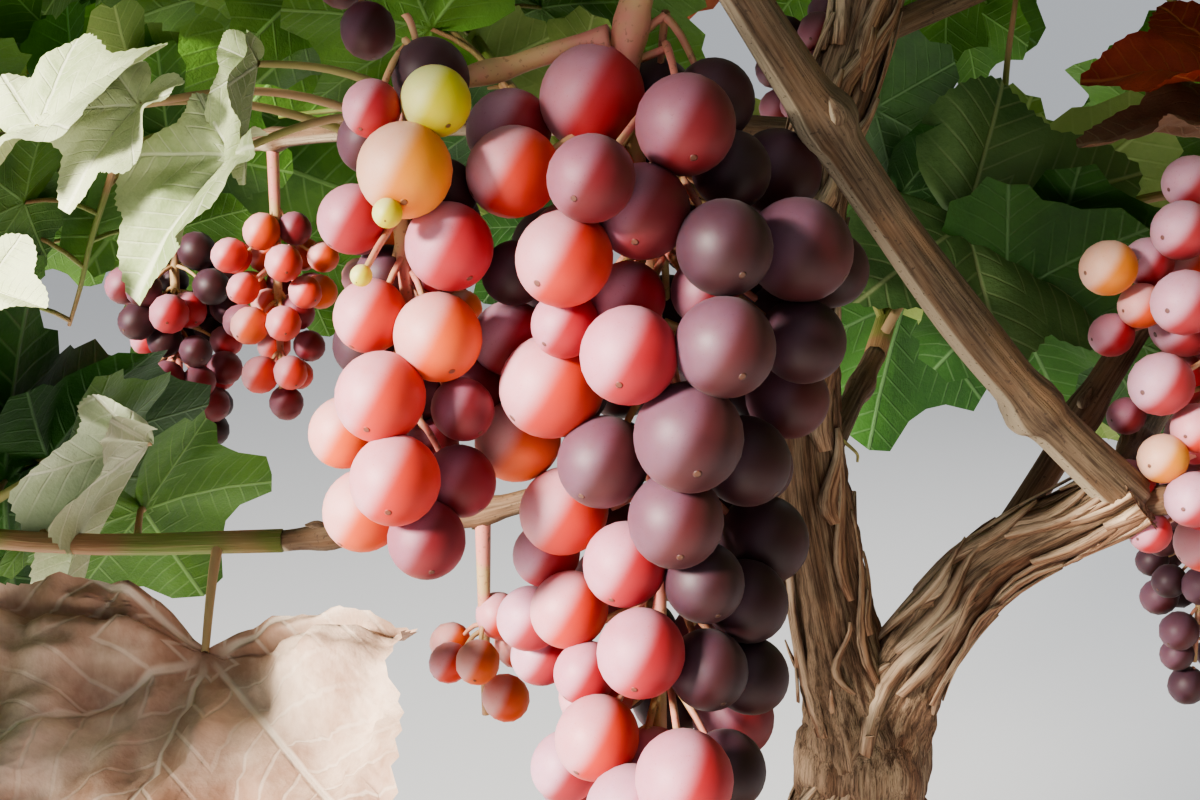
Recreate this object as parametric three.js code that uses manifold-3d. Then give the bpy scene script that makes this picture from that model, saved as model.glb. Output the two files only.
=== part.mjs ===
// A potted grapevine in fruit, in millimetres, +Z up, standing on the underside of its pot at the origin.
// The old wood forks low down. Canes grow from its two arms and end in leafy shoots, and bunches hang from them.
import * as THREE from "three";
import { mergeVertices } from "three/addons/utils/BufferGeometryUtils.js";
import Module from "manifold-3d";

const wasm = await Module();
wasm.setup();

// Driving dimensions
const GAP = 0.3;
const FINEST = 0.02;
const POT = {
  height: 320, footRadius: 130, topRadius: 182, rimRadius: 198, rimHeight: 48, wall: 14, floor: 16, sides: 22,
};
const SOIL = { top: 292, trunkPatch: 46, dip: 7 };
const FORK_HEIGHT = 556;
const TRUNK = {
  points: [[3, 3, SOIL.top - 6], [9, 4, 380], [-3, -1, 470], [0, 0, FORK_HEIGHT]],
  footRadius: 26, flareHeight: 46, lowRadius: 17, topRadius: 13.5, headRadius: 17.5, headLength: 26, headDrop: 18,
};
const LEAF = {
  thickness: 1.3, cup: 0.16, fold: 0.22, relief: 0.8, stalk: 54, stalkRadius: 1.5, sunk: 1.5, notch: 0.42, tries: 30,
  apart: 8, lengths: [84, 58], faceOut: 0.8, faceSway: 0.9, endShare: 0.8,
};

// How a leaf stands on its node: for each, the least value and the room that chance has above it
const STANCE = {
  across: [0.75, 0.4], onward: [0, 0.35], rise: [0, 0.7], reach: [0.75, 0.5], faceUp: [0.1, 0.5], droop: [0.35, 0.5],
  size: [0.85, 0.3],
};
const SHOOT = {
  stemLength: 215, twigLength: 112, nodeStep: 26, stemRadii: [3.4, 2.1], twigRadii: [2.7, 1.8], reach: 205, clear: 9,
  twigs: [[0.28, 1], [0.55, -1]], twigOnward: 0.45, twigRise: 0.25, twigBend: -0.2, sway: 0.22, lastNode: 0.97,
};
const BERRY_PRESS = 0.93;
const BERRY_GROWTH = 1.65;
const BUNCH_STALK = [2.2, 1.6];
const FILL_GROWTH = 1.7;
const CORE = { inset: 0.6, sides: 7, clear: 0.38, stalk: 2.4 };
const KNOBS = { sides: 10, rows: 8, dip: 0.7 };
const CROWN_AXIS = new THREE.Vector3(0, 20, 0);
const UP = new THREE.Vector3(0, 0, 1);

// The clear view onto the front bunch: a pyramid that opens backwards from its eye point, tilted down.
const WINDOW = { eye: new THREE.Vector3(-66, -355, 708), tiltDeg: 10, depth: 400, halfWidth: 0.43, halfHeight: 0.3 };

// Limbs that follow the real vine closely: centre line, then the radius at the foot and at the tip
const ARMS = {
  left_arm: {
    points: [
      [0, 0, FORK_HEIGHT], [-9, 3, 595], [-17, 5, 644], [-13, 17, 697], [0, 29, 741], [8, 34, 800], [0, 30, 860],
    ],
    radii: [10.5, 7],
  },
  right_arm: { points: [[0, 0, FORK_HEIGHT], [14, 1, 584], [32, 1, 605], [60, -13, 626]], radii: [10, 7.6] },
};
const TRAINED_CANES = {
  front_cane: {
    points: [[58, -12, 624], [28, -24, 652], [-4, -38, 689], [-38, -56, 734], [-84, -70, 800], [-128, -80, 868]],
    radii: [5.6, 3.2], seed: 539,
  },
  right_cane: {
    points: [[30, 3, 604], [60, 24, 641], [88, 22, 692], [108, 8, 742], [145, -10, 808]],
    radii: [4, 2.7], seed: 528,
  },
  left_cane: {
    points: [[-17, 5, 642], [-75, 22, 618], [-112, 30, 607], [-150, 31, 602]],
    radii: [3.2, 2.9], seed: 533,
  },
};

// Canes by rule: the limb they spring from, how far along it, compass angle, rise, length and sag as a share of it
const CANES = {
  low_back_left_cane: {
    from: "left_arm", at: 0.5, turn: 140, rise: 4, length: 290, sag: 0.1, radii: [4.2, 2.9], seed: 512,
  },
  low_back_right_cane: {
    from: "right_arm", at: 0.9, turn: 62, rise: 8, length: 270, sag: 0.08, radii: [4.2, 2.9], seed: 513,
  },
  middle_back_cane: {
    from: "left_arm", at: 0.22, turn: 66, rise: 22, length: 68, sag: 0.02, radii: [3.6, 2.9], seed: 540,
  },
  low_right_cane: {
    from: "right_arm", at: 0.9, turn: -8, rise: 12, length: 165, sag: 0.06, radii: [3.6, 2.9], seed: 508,
  },
  low_front_cane: {
    from: "low_right_cane", at: 0.3, turn: -62, rise: 10, length: 84, sag: 0.04, radii: [3.3, 2.9], seed: 514,
  },
  inner_back_left_cane: {
    from: "left_arm", at: 0.4, turn: 122, rise: 14, length: 62, sag: 0.02, radii: [3.6, 2.9], seed: 523,
  },
  inner_right_cane: {
    from: "left_arm", at: 0.58, turn: 22, rise: 22, length: 66, sag: 0.02, radii: [3.6, 2.9], seed: 511,
  },
  inner_back_cane: {
    from: "left_arm", at: 0.72, turn: 100, rise: 40, length: 60, sag: 0.02, radii: [3.6, 2.9], seed: 514,
  },
  back_cane: {
    from: "left_arm", at: 0.64, turn: 84, rise: 16, length: 225, sag: 0.06, radii: [4.2, 2.9], seed: 504,
  },
  left_cane_above: {
    from: "left_arm", at: 0.76, turn: 186, rise: 34, length: 195, sag: 0.06, radii: [4.2, 2.9], seed: 511,
  },
  front_left_cane: {
    from: "front_cane", at: 0.84, turn: 202, rise: 8, length: 84, sag: 0.05, radii: [3.3, 2.9], seed: 513,
  },
  outer_right_cane: {
    from: "right_cane", at: 0.74, turn: 12, rise: 14, length: 76, sag: 0.05, radii: [3.1, 2.9], seed: 516,
  },
  high_back_left_cane: {
    from: "left_arm", at: 0.86, turn: 122, rise: 34, length: 210, sag: 0.06, radii: [4.2, 2.9], seed: 500,
  },
  high_left_cane: {
    from: "left_arm", at: 0.82, turn: 158, rise: 50, length: 64, sag: 0.02, radii: [3.6, 2.9], seed: 535,
  },
  high_back_right_cane: {
    from: "left_arm", at: 0.95, turn: 44, rise: 38, length: 190, sag: 0.05, radii: [4.2, 2.9], seed: 519,
  },
  high_right_cane: {
    from: "left_arm", at: 0.9, turn: -38, rise: 40, length: 200, sag: 0.05, radii: [4.2, 2.9], seed: 511,
  },
  high_front_cane: {
    from: "left_arm", at: 0.97, turn: 246, rise: 52, length: 150, sag: 0.04, radii: [4, 2.9], seed: 510,
  },
  top_cane: { from: "left_arm", at: 1, turn: 60, rise: 84, length: 120, sag: 0, radii: [5, 2.9], seed: 501 },
};

// The front bunch hangs from the front cane. Its berries that show in front are placed by hand:
// across and down from the bunch's neck, diameter, and how far one stands out over its neighbours.
const FRONT_BUNCH = {
  joint: [-51, -58, 752], neck: [-61, -49, 722], axisShift: 8, length: 186, radius: 38, berry: 17.5, seed: 11,
  stalkRadii: [3.2, 2.2],
  profile: [[0, 0.5], [0.1, 0.95], [0.3, 1], [0.42, 0.78], [0.82, 0.76], [1, 0.3]],
};
const WING = {
  joint: [-64, -50, 727], bend: [-84, -60, 719], shift: -43, top: 4, length: 86, radius: 21, forward: 6, berry: 15,
  stalkRadii: [2.2, 1.8], split: -30, profile: [[0, 0.6], [0.2, 0.9], [0.8, 1], [1, 0.5]], seed: 12,
};
const FRONT_BERRIES = [
  [-6.6, 6.4, 20.8, 0], [-22, 21, 18, 5], [-23.6, 13, 17, 0], [-6.6, 21.6, 16, 6], [11, 12, 19, 0],
  [-11.6, 36.4, 18, 5], [-22, 41, 13, 0], [3, 28, 18, 0], [18, 34.4, 18, 2], [34, 36, 20.5, 4],
  [42, 41, 16, 0], [18, 52.4, 18.8, 2], [35, 54, 17, 0], [-11.6, 49.4, 13, 0], [-23.6, 55, 15.5, 0],
  [0.4, 54, 18.4, 4], [-14.4, 62.6, 20.6, 6], [11.6, 69.6, 20.8, 6], [-22, 76, 17.4, 2], [-4.4, 77, 18, 0],
  [24, 78, 18, 0], [-12.4, 90, 18, 2], [9.6, 87, 18.6, 4], [0, 98, 16.8, 4], [15.6, 101, 16, 0],
  [-16.4, 101.6, 14, 0], [-11.4, 111, 16, 3], [3, 113.6, 17.4, 6], [-20, 116, 14, 0], [-8, 123, 13, 1],
  [16.6, 119, 16, 0], [25, 108, 17, 0], [-17.8, 126.6, 13.5, 0], [-5.6, 133.6, 17, 2], [11, 134.4, 18.8, 6],
  [26, 124, 16, 0], [21, 142, 16, 0], [-12, 145, 15, 0], [1, 145, 18, 2],
];
const WING_BERRIES = [
  [-48, 9, 11, 0], [-36, 7.6, 13.4, 2], [-41.6, 20.4, 18, 4], [-34, 35, 17, 2], [-50, 48.8, 14.4, 0],
  [-36.4, 52.4, 17.2, 3], [-47, 63.2, 17.4, 3], [-56.4, 73, 14.6, 0], [-44, 78.6, 17.4, 5], [-52, 87.6, 16.4, 2],
  [-39, 92, 15.4, 0], [-32, 67, 12.4, 0], [-33, 82, 14.4, 0],
];

// Every other bunch: the cane that it hangs from, how far along, and its sizes
const BUNCHES = {
  right_bunch: {
    from: "right_cane", at: 0.58, stalk: 26, length: 118, radius: 33, berry: 16.5, seed: 21, near: true,
  },
  back_bunch: { from: "back_cane", at: 0.86, stalk: 32, length: 128, radius: 30, berry: 14.5, seed: 22 },
  low_back_right_bunch: {
    from: "low_back_right_cane", at: 0.9, stalk: 30, length: 126, radius: 29, berry: 14, seed: 23,
  },
  low_left_bunch: { from: "left_cane", at: 0.62, stalk: 24, length: 40, radius: 19, berry: 12.5, seed: 24 },
  inner_back_left_bunch: {
    from: "low_back_left_cane", at: 0.52, stalk: 30, length: 96, radius: 25, berry: 13, seed: 25,
  },
  middle_back_left_bunch: {
    from: "low_back_left_cane", at: 0.75, stalk: 26, length: 78, radius: 22, berry: 12, seed: 26,
  },
  outer_back_left_bunch: {
    from: "low_back_left_cane", at: 0.96, stalk: 30, length: 108, radius: 27, berry: 13.5, seed: 27,
  },
  high_back_left_bunch: {
    from: "high_back_left_cane", at: 0.9, stalk: 30, length: 132, radius: 28, berry: 14, seed: 28,
  },
  low_right_bunch: {
    from: "low_right_cane", at: 0.8, stalk: 26, length: 112, radius: 28, berry: 14.5, seed: 29, near: true,
  },
  left_bunch: {
    from: "left_cane_above", at: 0.82, stalk: 30, length: 120, radius: 28, berry: 14.5, seed: 30,
  },
  high_right_bunch: {
    from: "high_right_cane", at: 0.86, stalk: 28, length: 116, radius: 27, berry: 14, seed: 31,
  },
};
const BUNCH_PROFILE = [[0, 0.55], [0.16, 1], [0.5, 0.86], [0.8, 0.6], [1, 0.2]];

// Leaves that hold a known place: the shoot that bears them, how far along its stem, blade base, tip and upper face
const KNOWN_LEAVES = [
  {
    shoot: "left_cane", at: 0.42, base: [-188, 44, 626], tip: [-0.55, 0.02, -0.83],
    face: [-0.5, -0.82, 0.3], length: 54,
  },
  {
    shoot: "left_cane", at: 0.08, base: [-166, 8, 579], tip: [-0.15, -0.45, -0.86],
    face: [-0.15, -0.84, 0.5], length: 84,
  },
  {
    shoot: "middle_back_cane", at: 0.04, base: [42, 92, 682], tip: [0.75, 0.1, -0.62],
    face: [0.1, -0.9, 0.42], length: 62,
  },
];

// Materials
const finish = (color, roughness) => new THREE.MeshStandardMaterial({ color, roughness, metalness: 0 });
const CLAY = finish(0xb5623c, 0.85);
const EARTH = finish(0x3a2a1e, 1);
const BARK = finish(0x7a5237, 0.9);
const CANE = finish(0x9c7b57, 0.7);
const FOLIAGE = finish(0x5f8a34, 0.6);
const FRUIT = finish(0xb8475a, 0.5);

// A repeatable stream of numbers from 0 to 1
function seeded(seed) {
  let state = Math.imul(seed, 2654435761) >>> 0;
  return () => {
    state = (Math.imul(state, 1664525) + 1013904223) >>> 0;
    return state / 4294967296;
  };
}

const vector = (p) => new THREE.Vector3(...p);
const mix = (a, b, t) => a + (b - a) * t;

// Reads a list of [share, value] pairs as a graph of straight stretches
function graph(pairs, share) {
  const next = pairs.findIndex(([s]) => s >= share);
  if (next <= 0) return next ? pairs.at(-1)[1] : pairs[0][1];
  const [[s0, v0], [s1, v1]] = [pairs[next - 1], pairs[next]];
  return mix(v0, v1, (share - s0) / (s1 - s0));
}

// Solids

function solidOf(geometry) {
  const bare = geometry.clone().deleteAttribute("normal").deleteAttribute("uv");
  const merged = mergeVertices(bare, 1e-4);
  const mesh = new wasm.Mesh({
    numProp: 3,
    vertProperties: new Float32Array(merged.attributes.position.array),
    triVerts: new Uint32Array(merged.index.array),
  });
  return new wasm.Manifold(mesh);
}

// The largest outer body of a solid, so that loose scraps go and sealed hollows are filled
function largest(solid) {
  return solid.decompose().reduce((best, body) => (body.volume() > best.volume() ? body : best));
}

function meshOf(name, solid, material) {
  const { numProp, numVert, vertProperties, triVerts } = solid.simplify(FINEST).getMesh();
  const positions = new Float32Array(numVert * 3);
  for (let i = 0; i < numVert; i++) {
    positions.set(vertProperties.subarray(i * numProp, i * numProp + 3), i * 3);
  }
  const geometry = new THREE.BufferGeometry();
  geometry.setAttribute("position", new THREE.BufferAttribute(positions, 3));
  geometry.setIndex(new THREE.BufferAttribute(triVerts, 1));
  geometry.computeVertexNormals();
  const mesh = new THREE.Mesh(geometry, material);
  mesh.name = name;
  return mesh;
}

// A closed tube along a curve: a cylinder whose rings are carried to the curve, each with its own radius
function tube(curve, radiusAt, steps, sides) {
  const geometry = new THREE.CylinderGeometry(1, 1, 1, sides, steps);
  const frames = curve.computeFrenetFrames(steps);
  const spots = Array.from({ length: steps + 1 }, (_, i) => curve.getPointAt(i / steps));
  const position = geometry.attributes.position;
  const point = new THREE.Vector3();
  for (let i = 0; i < position.count; i++) {
    point.fromBufferAttribute(position, i);
    const step = Math.round((point.y + 0.5) * steps);
    const radius = radiusAt(step / steps);
    const moved = spots[step].clone();
    moved.addScaledVector(frames.normals[step], point.x * radius);
    moved.addScaledVector(frames.binormals[step], -point.z * radius);
    position.setXYZ(i, moved.x, moved.y, moved.z);
  }
  const solid = solidOf(geometry);
  return solid.volume() < 0 ? solidOf(flipped(geometry)) : solid;
}

function flipped(geometry) {
  const index = geometry.index.array;
  for (let i = 0; i < index.length; i += 3) {
    [index[i], index[i + 1]] = [index[i + 1], index[i]];
  }
  return geometry;
}

function stick(from, to, radii, sides) {
  return tube(new THREE.LineCurve3(from, to), (t) => mix(radii[0], radii[1], t), 1, sides);
}

// A three-sided spike, for the stalk of a leaf
function spike(from, to, radius) {
  const way = to.clone().sub(from);
  const geometry = new THREE.ConeGeometry(radius, way.length(), 3);
  geometry.applyQuaternion(new THREE.Quaternion().setFromUnitVectors(new THREE.Vector3(0, 1, 0), way.normalize()));
  return solidOf(geometry.translate(...from.clone().add(to).multiplyScalar(0.5).toArray()));
}

function smooth(points) {
  return new THREE.CatmullRomCurve3(points, false, "catmullrom", 0.5);
}

// Pot and soil

function turned(profile, sides = POT.sides) {
  const points = profile.map(([x, y]) => new THREE.Vector2(x, y));
  return solidOf(new THREE.LatheGeometry(points, sides).rotateX(Math.PI / 2));
}

function potSolid() {
  const inside = POT.topRadius - POT.wall;
  const rimFoot = POT.height - POT.rimHeight;
  const profile = [
    [0, 0], [POT.footRadius - 5, 0], [POT.footRadius, 5], [POT.topRadius - 8, rimFoot], [POT.rimRadius - 3, rimFoot],
    [POT.rimRadius, rimFoot + 4], [POT.rimRadius, POT.height - 6], [POT.rimRadius - 6, POT.height],
    [inside + 4, POT.height], [inside, POT.height - 5], [POT.footRadius - POT.wall, POT.floor], [0, POT.floor],
  ];
  return turned(profile);
}

function soilSolid() {
  const inside = POT.topRadius - POT.wall;
  const slope = (inside - POT.footRadius + POT.wall) / (POT.height - 5 - POT.floor);
  const wallAt = (z) => POT.footRadius - POT.wall + slope * (z - POT.floor) - GAP;
  const rim = SOIL.top - SOIL.dip;
  const profile = [
    [0, POT.floor + GAP], [wallAt(POT.floor) - GAP, POT.floor + GAP], [wallAt(rim), rim],
    [mix(SOIL.trunkPatch, wallAt(rim), 0.6), SOIL.top - SOIL.dip * 0.3], [SOIL.trunkPatch, SOIL.top], [0, SOIL.top],
  ];
  return turned(profile);
}

// Limbs. Each keeps its curve and radius rule, so that what grows from it can be cut clear of it.

const limbs = {};

function addLimb(name, points, radiusAt, steps, sides, seed) {
  limbs[name] = { name, curve: smooth(points), radiusAt, steps, sides, seed };
}

function limbSolid(limb, extra = 0) {
  return tube(limb.curve, (t) => limb.radiusAt(t) + extra, limb.steps, limb.sides);
}

// The trunk flares at the soil, tapers, and swells into a head just under the fork
function trunkRadius(t) {
  const height = t * (FORK_HEIGHT - SOIL.top);
  const flare = Math.max(0, 1 - height / TRUNK.flareHeight) ** 2;
  const belowFork = FORK_HEIGHT - SOIL.top - height;
  const head = Math.max(0, 1 - Math.abs(belowFork - TRUNK.headDrop) / TRUNK.headLength);
  const plain = mix(TRUNK.lowRadius, TRUNK.topRadius, t);
  return plain + (TRUNK.footRadius - TRUNK.lowRadius) * flare + (TRUNK.headRadius - TRUNK.topRadius) * head;
}

function taper(radii) {
  return (t) => mix(radii[0], radii[1], t);
}

// A cane by rule springs from the middle of its parent, runs out at its compass angle and sags by the square
function canePoints({ from, at, turn, rise, length, sag }) {
  const start = limbs[from].curve.getPointAt(at);
  const [a, e] = [THREE.MathUtils.degToRad(turn), THREE.MathUtils.degToRad(rise)];
  const along = new THREE.Vector3(Math.cos(a) * Math.cos(e), Math.sin(a) * Math.cos(e), Math.sin(e));
  return [0, 0.33, 0.67, 1].map((t) =>
    start.clone().addScaledVector(along, length * t).addScaledVector(UP, -sag * length * t * t),
  );
}

// A solid with its foot cut clear of the limb that it springs from
function seated(solid, parent) {
  return largest(solid.subtract(limbSolid(limbs[parent], GAP)));
}

// A limb cut clear of all the limbs before it
function limbCutClear(name) {
  const before = Object.values(limbs).filter((limb) => limb.name !== name);
  const room = wasm.Manifold.union(before.map((limb) => limbSolid(limb, GAP)));
  return largest(limbSolid(limbs[name]).subtract(room));
}

// Bunches

// Moves overlapping berries apart along their depth only, so that the front view stays as it was placed
function settle(berries) {
  for (let round = 0; round < 40; round++) {
    for (let i = 0; i < berries.length; i++) {
      for (let j = 0; j < i; j++) {
        const [a, b] = [berries[i], berries[j]];
        const [dx, dy, dz] = [a.x - b.x, a.y - b.y, a.z - b.z];
        const wanted = ((a.size + b.size) / 2) * BERRY_PRESS;
        const flat = dx * dx + dz * dz;
        if (flat + dy * dy >= wanted * wanted) continue;
        const push = (Math.sqrt(wanted * wanted - flat) - Math.abs(dy)) * 0.25;
        const way = dy < 0 ? -1 : 1;
        a.y += way * push;
        b.y -= way * push;
      }
    }
  }
  return berries;
}

// Rings of berries down a body, each ring turned half a step from the last. One that crowds a placed one is left out.
function fillRings(berries, { x, y, top, length, radius, berry, profile, seed }) {
  const random = seeded(seed);
  const pitch = berry * 0.84;
  for (let row = 0; row * pitch <= length; row++) {
    const ring = Math.max(0, graph(profile, (row * pitch) / length) * radius - berry / 2);
    const count = Math.max(1, Math.round((2 * Math.PI * ring) / (berry * 0.98)));
    for (let k = 0; k < count; k++) {
      const angle = (2 * Math.PI * (k + (row % 2) / 2 + (random() - 0.5) * 0.35)) / count;
      const reach = ring * (0.94 + 0.12 * random());
      const one = {
        x: x + Math.cos(angle) * reach,
        y: y + Math.sin(angle) * reach,
        z: top - row * pitch - (random() - 0.5) * berry * 0.3,
        size: berry * (0.86 + 0.24 * random()),
      };
      const crowded = berries.some((b) =>
        Math.hypot(b.x - one.x, b.y - one.y, b.z - one.z) < ((b.size + one.size) / 2) * 0.86,
      );
      if (!crowded) berries.push(one);
    }
  }
  return berries;
}

// The hand-placed berries lie on the front of the body or of the wing
function frontBerries() {
  const [nx, ny, nz] = FRONT_BUNCH.neck;
  const bodyX = FRONT_BUNCH.axisShift;
  const body = FRONT_BERRIES.map(([across, down, size, lift]) => {
    const ring = graph(FRONT_BUNCH.profile, down / FRONT_BUNCH.length) * FRONT_BUNCH.radius - size / 2;
    const forward = Math.sqrt(Math.max(0, ring ** 2 - (across - bodyX) ** 2)) + lift;
    return { x: nx + across, y: ny - forward, z: nz - down, size };
  });
  const wing = WING_BERRIES.map(([across, down, size, lift]) => {
    const forward = Math.sqrt(Math.max(0, (WING.radius - size / 2) ** 2 - (across - WING.shift) ** 2));
    return { x: nx + across, y: ny - WING.forward - forward - lift, z: nz - down, size };
  });
  return settle([...body, ...wing]);
}

function berrySolid({ x, y, z, size }) {
  return solidOf(new THREE.IcosahedronGeometry(size / 2, 0)).translate([x, y, z]);
}

// The inside of a bunch, where its stalks and hidden berries fill it
function coreSolid(x, y, top, length, radius) {
  const ball = new THREE.SphereGeometry(1, 8, 6).rotateX(Math.PI / 2);
  return solidOf(ball.scale(radius, radius, length / 2).translate(x, y, top - length / 2));
}

// The inside of the front bunch or of its wing: its profile drawn in, and a stalk to each berry that stands clear of it
function innerParts({ x, y, top, length, radius, berry, profile }, berries) {
  const reachAt = (down) => Math.max(2, graph(profile, down / length) * radius - berry * CORE.inset);
  const edge = profile.map(([share]) => [reachAt(share * length), top - share * length]).reverse();
  const inside = turned([[0, top - length], ...edge, [0, top]], CORE.sides).translate([x, y, 0]);
  const clear = berries.filter((b) => Math.hypot(b.x - x, b.y - y) > reachAt(top - b.z) + b.size * CORE.clear);
  return [inside, ...clear.map((b) => spike(new THREE.Vector3(x, y, b.z), new THREE.Vector3(b.x, b.y, b.z), CORE.stalk))];
}

function frontBunchSolid() {
  const [nx, ny, nz] = FRONT_BUNCH.neck;
  const body = { ...FRONT_BUNCH, x: nx + FRONT_BUNCH.axisShift, y: ny, top: nz - 8, length: FRONT_BUNCH.length - 8 };
  const beside = (b) => b.x < nx + WING.split;
  const wing = { ...WING, x: nx + WING.shift, y: ny - WING.forward, top: nz - WING.top };
  const filling = (part) => ({ ...part, berry: part.berry * FILL_GROWTH });
  const berries = fillRings(fillRings(frontBerries(), filling(body)), filling(wing));
  const inside = new THREE.Vector3(nx + 6, ny, nz - 60);
  const stalk = smooth([vector(FRONT_BUNCH.joint), vector(FRONT_BUNCH.neck), inside]);
  const arm = smooth([
    vector(WING.joint), vector(WING.bend), new THREE.Vector3(wing.x, wing.y, nz - 12),
    new THREE.Vector3(wing.x, wing.y, nz - 40),
  ]);
  const parts = [
    tube(stalk, taper(FRONT_BUNCH.stalkRadii), 6, 8),
    tube(arm, taper(WING.stalkRadii), 6, 8),
    ...innerParts(body, berries.filter((b) => !beside(b))),
    ...innerParts(wing, berries.filter(beside)),
    ...berries.map(berrySolid),
  ];
  return seated(wasm.Manifold.union(parts), "front_cane");
}

// The body of a far bunch: a ball drawn out to the bunch's profile, its points standing out and falling back by turns
function knobbedBody({ x, y, z }, length, radius) {
  const { sides, rows, dip } = KNOBS;
  const geometry = new THREE.SphereGeometry(1, sides, rows);
  const position = geometry.attributes.position;
  for (let i = 0; i < position.count; i++) {
    const [row, side] = [Math.floor(i / (sides + 1)), i % (sides + 1)];
    const knob = (row + side) % 2 ? 1 : dip;
    const reach = graph(BUNCH_PROFILE, row / rows) * radius * knob * (row % rows ? 1 : 0);
    const angle = (2 * Math.PI * side) / sides;
    position.setXYZ(i, x + Math.cos(angle) * reach, y + Math.sin(angle) * reach, z - (row / rows) * length);
  }
  const solid = solidOf(geometry);
  return solid.volume() < 0 ? solidOf(flipped(geometry)) : solid;
}

// The berries of a near bunch are fewer and larger than life
function bunchSolid({ from, at, stalk, length, radius, berry: ripe, seed, near }) {
  const berry = ripe * BERRY_GROWTH;
  const joint = limbs[from].curve.getPointAt(at);
  const neck = joint.clone().addScaledVector(UP, -stalk);
  if (!near) {
    const stem = stick(joint, neck.clone().addScaledVector(UP, -length / 3), BUNCH_STALK, 5);
    return seated(stem.add(knobbedBody(neck, length, radius)), from);
  }
  const berries = fillRings([], {
    x: neck.x, y: neck.y, top: neck.z - berry / 3, length: length - berry, radius, berry, seed,
    profile: BUNCH_PROFILE,
  });
  const parts = [
    stick(joint, neck.clone().addScaledVector(UP, -length / 3), BUNCH_STALK, 5),
    coreSolid(neck.x, neck.y, neck.z - berry * 0.3, length - berry * 0.8, radius - berry * 0.62),
    ...berries.map(berrySolid),
  ];
  return seated(wasm.Manifold.union(parts), from);
}

// The room that each bunch needs, as an upright capsule
function bunchRooms() {
  const [nx, ny, nz] = FRONT_BUNCH.neck;
  const rooms = [
    { x: nx + 4, y: ny, top: nz + 8, foot: nz - FRONT_BUNCH.length, radius: FRONT_BUNCH.radius + 10 },
    { x: nx + WING.shift, y: ny - 8, top: nz + 8, foot: nz - WING.length - 10, radius: WING.radius + 10 },
  ];
  for (const { from, at, stalk, length, radius } of Object.values(BUNCHES)) {
    const joint = limbs[from].curve.getPointAt(at);
    rooms.push({ x: joint.x, y: joint.y, top: joint.z, foot: joint.z - stalk - length, radius: radius + 5 });
  }
  return rooms;
}

// Leafy shoots

// Half of a vine leaf's outline as [degrees from the tip, share of the blade length]: tip, lobes and the stalk notch
const OUTLINE = [[0, 1], [50, 0.86], [130, 0.7], [140, 0.15], [180, 0.06]];
const HUB = 0.1;

function outlinePoint(angle, share = 1) {
  const reach = graph(OUTLINE, Math.abs(angle)) * share;
  return [Math.cos(THREE.MathUtils.degToRad(angle)) * reach, Math.sin(THREE.MathUtils.degToRad(angle)) * reach];
}

// A point over the blade's own plane, in shares of its length: folded along the midrib and cupped all round
function bladePoint([x, y], length) {
  const height = (LEAF.fold * Math.abs(y) - LEAF.cup * (x * x + y * y)) * LEAF.relief;
  return new THREE.Vector3(x, y, height).multiplyScalar(length);
}

function bladeAxes({ tip, face, base }) {
  const along = tip.clone().addScaledVector(face, -tip.dot(face)).normalize();
  return new THREE.Matrix4().makeBasis(along, new THREE.Vector3().crossVectors(face, along), face).setPosition(base);
}

// A leaf is a flat cone whose rim is drawn out to the blade's outline and, in the notch, back along the stalk
function leafSolid(leaf) {
  const axes = bladeAxes(leaf);
  const rim = [...OUTLINE, ...OUTLINE.slice(1, -1).reverse().map(([a]) => [-a])].map(([a]) => a);
  const geometry = new THREE.ConeGeometry(1, 1, rim.length, 1);
  const position = geometry.attributes.position;
  const foot = leaf.node.clone().sub(leaf.base).setLength(LEAF.sunk).add(leaf.node);
  const spot = new THREE.Vector3();
  for (let i = 0; i < position.count; i++) {
    spot.fromBufferAttribute(position, i);
    const place = Math.round((Math.atan2(spot.x, spot.z) / (2 * Math.PI)) * rim.length);
    const angle = rim[(place + rim.length) % rim.length];
    if (Math.hypot(spot.x, spot.z) < 0.01) {
      spot.set(leaf.length * HUB, 0, LEAF.thickness * spot.y).applyMatrix4(axes);
    } else if (angle === 180 && !leaf.stalked) {
      spot.copy(foot);
    } else {
      spot.copy(bladePoint(outlinePoint(angle), leaf.length)).applyMatrix4(axes);
    }
    position.setXYZ(i, spot.x, spot.y, spot.z);
  }
  const solid = solidOf(geometry);
  return solid.volume() < 0 ? solidOf(flipped(geometry)) : solid;
}

// The stalk must come in between the two rear lobes
function throughNotch(leaf) {
  const q = leaf.node.clone().applyMatrix4(bladeAxes(leaf).invert());
  return q.x < -leaf.length * 0.15 && Math.abs(q.y) < (leaf.length * HUB - q.x) * LEAF.notch;
}

// Points spread over a blade, to test what it would touch
function bladePoints(leaf) {
  const axes = bladeAxes(leaf);
  const points = [];
  for (let angle = -165; angle <= 180; angle += 15) {
    for (const share of [0.3, 0.65, 1]) {
      points.push(bladePoint(outlinePoint(angle, share), leaf.length).applyMatrix4(axes));
    }
  }
  return points;
}

function inWindow(p) {
  const tilt = THREE.MathUtils.degToRad(WINDOW.tiltDeg);
  const q = p.clone().sub(WINDOW.eye);
  const depth = q.y * Math.cos(tilt) - q.z * Math.sin(tilt);
  const rise = q.y * Math.sin(tilt) + q.z * Math.cos(tilt);
  return depth > 0 && depth < WINDOW.depth && Math.abs(q.x) < WINDOW.halfWidth * depth
    && Math.abs(rise) < WINDOW.halfHeight * depth;
}

function inBunch(p, rooms) {
  return rooms.some((r) => p.z < r.top && p.z > r.foot && Math.hypot(p.x - r.x, p.y - r.y) < r.radius);
}

function nearLimb(p, limit) {
  return limbSpots.some(({ spot, radius }) => spot.distanceTo(p) < radius + limit);
}

function spotsAlong(limb) {
  const shares = Array.from({ length: 61 }, (_, i) => i / 60);
  return shares.map((t) => ({ spot: limb.curve.getPointAt(t), radius: limb.radiusAt(t) }));
}

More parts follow.
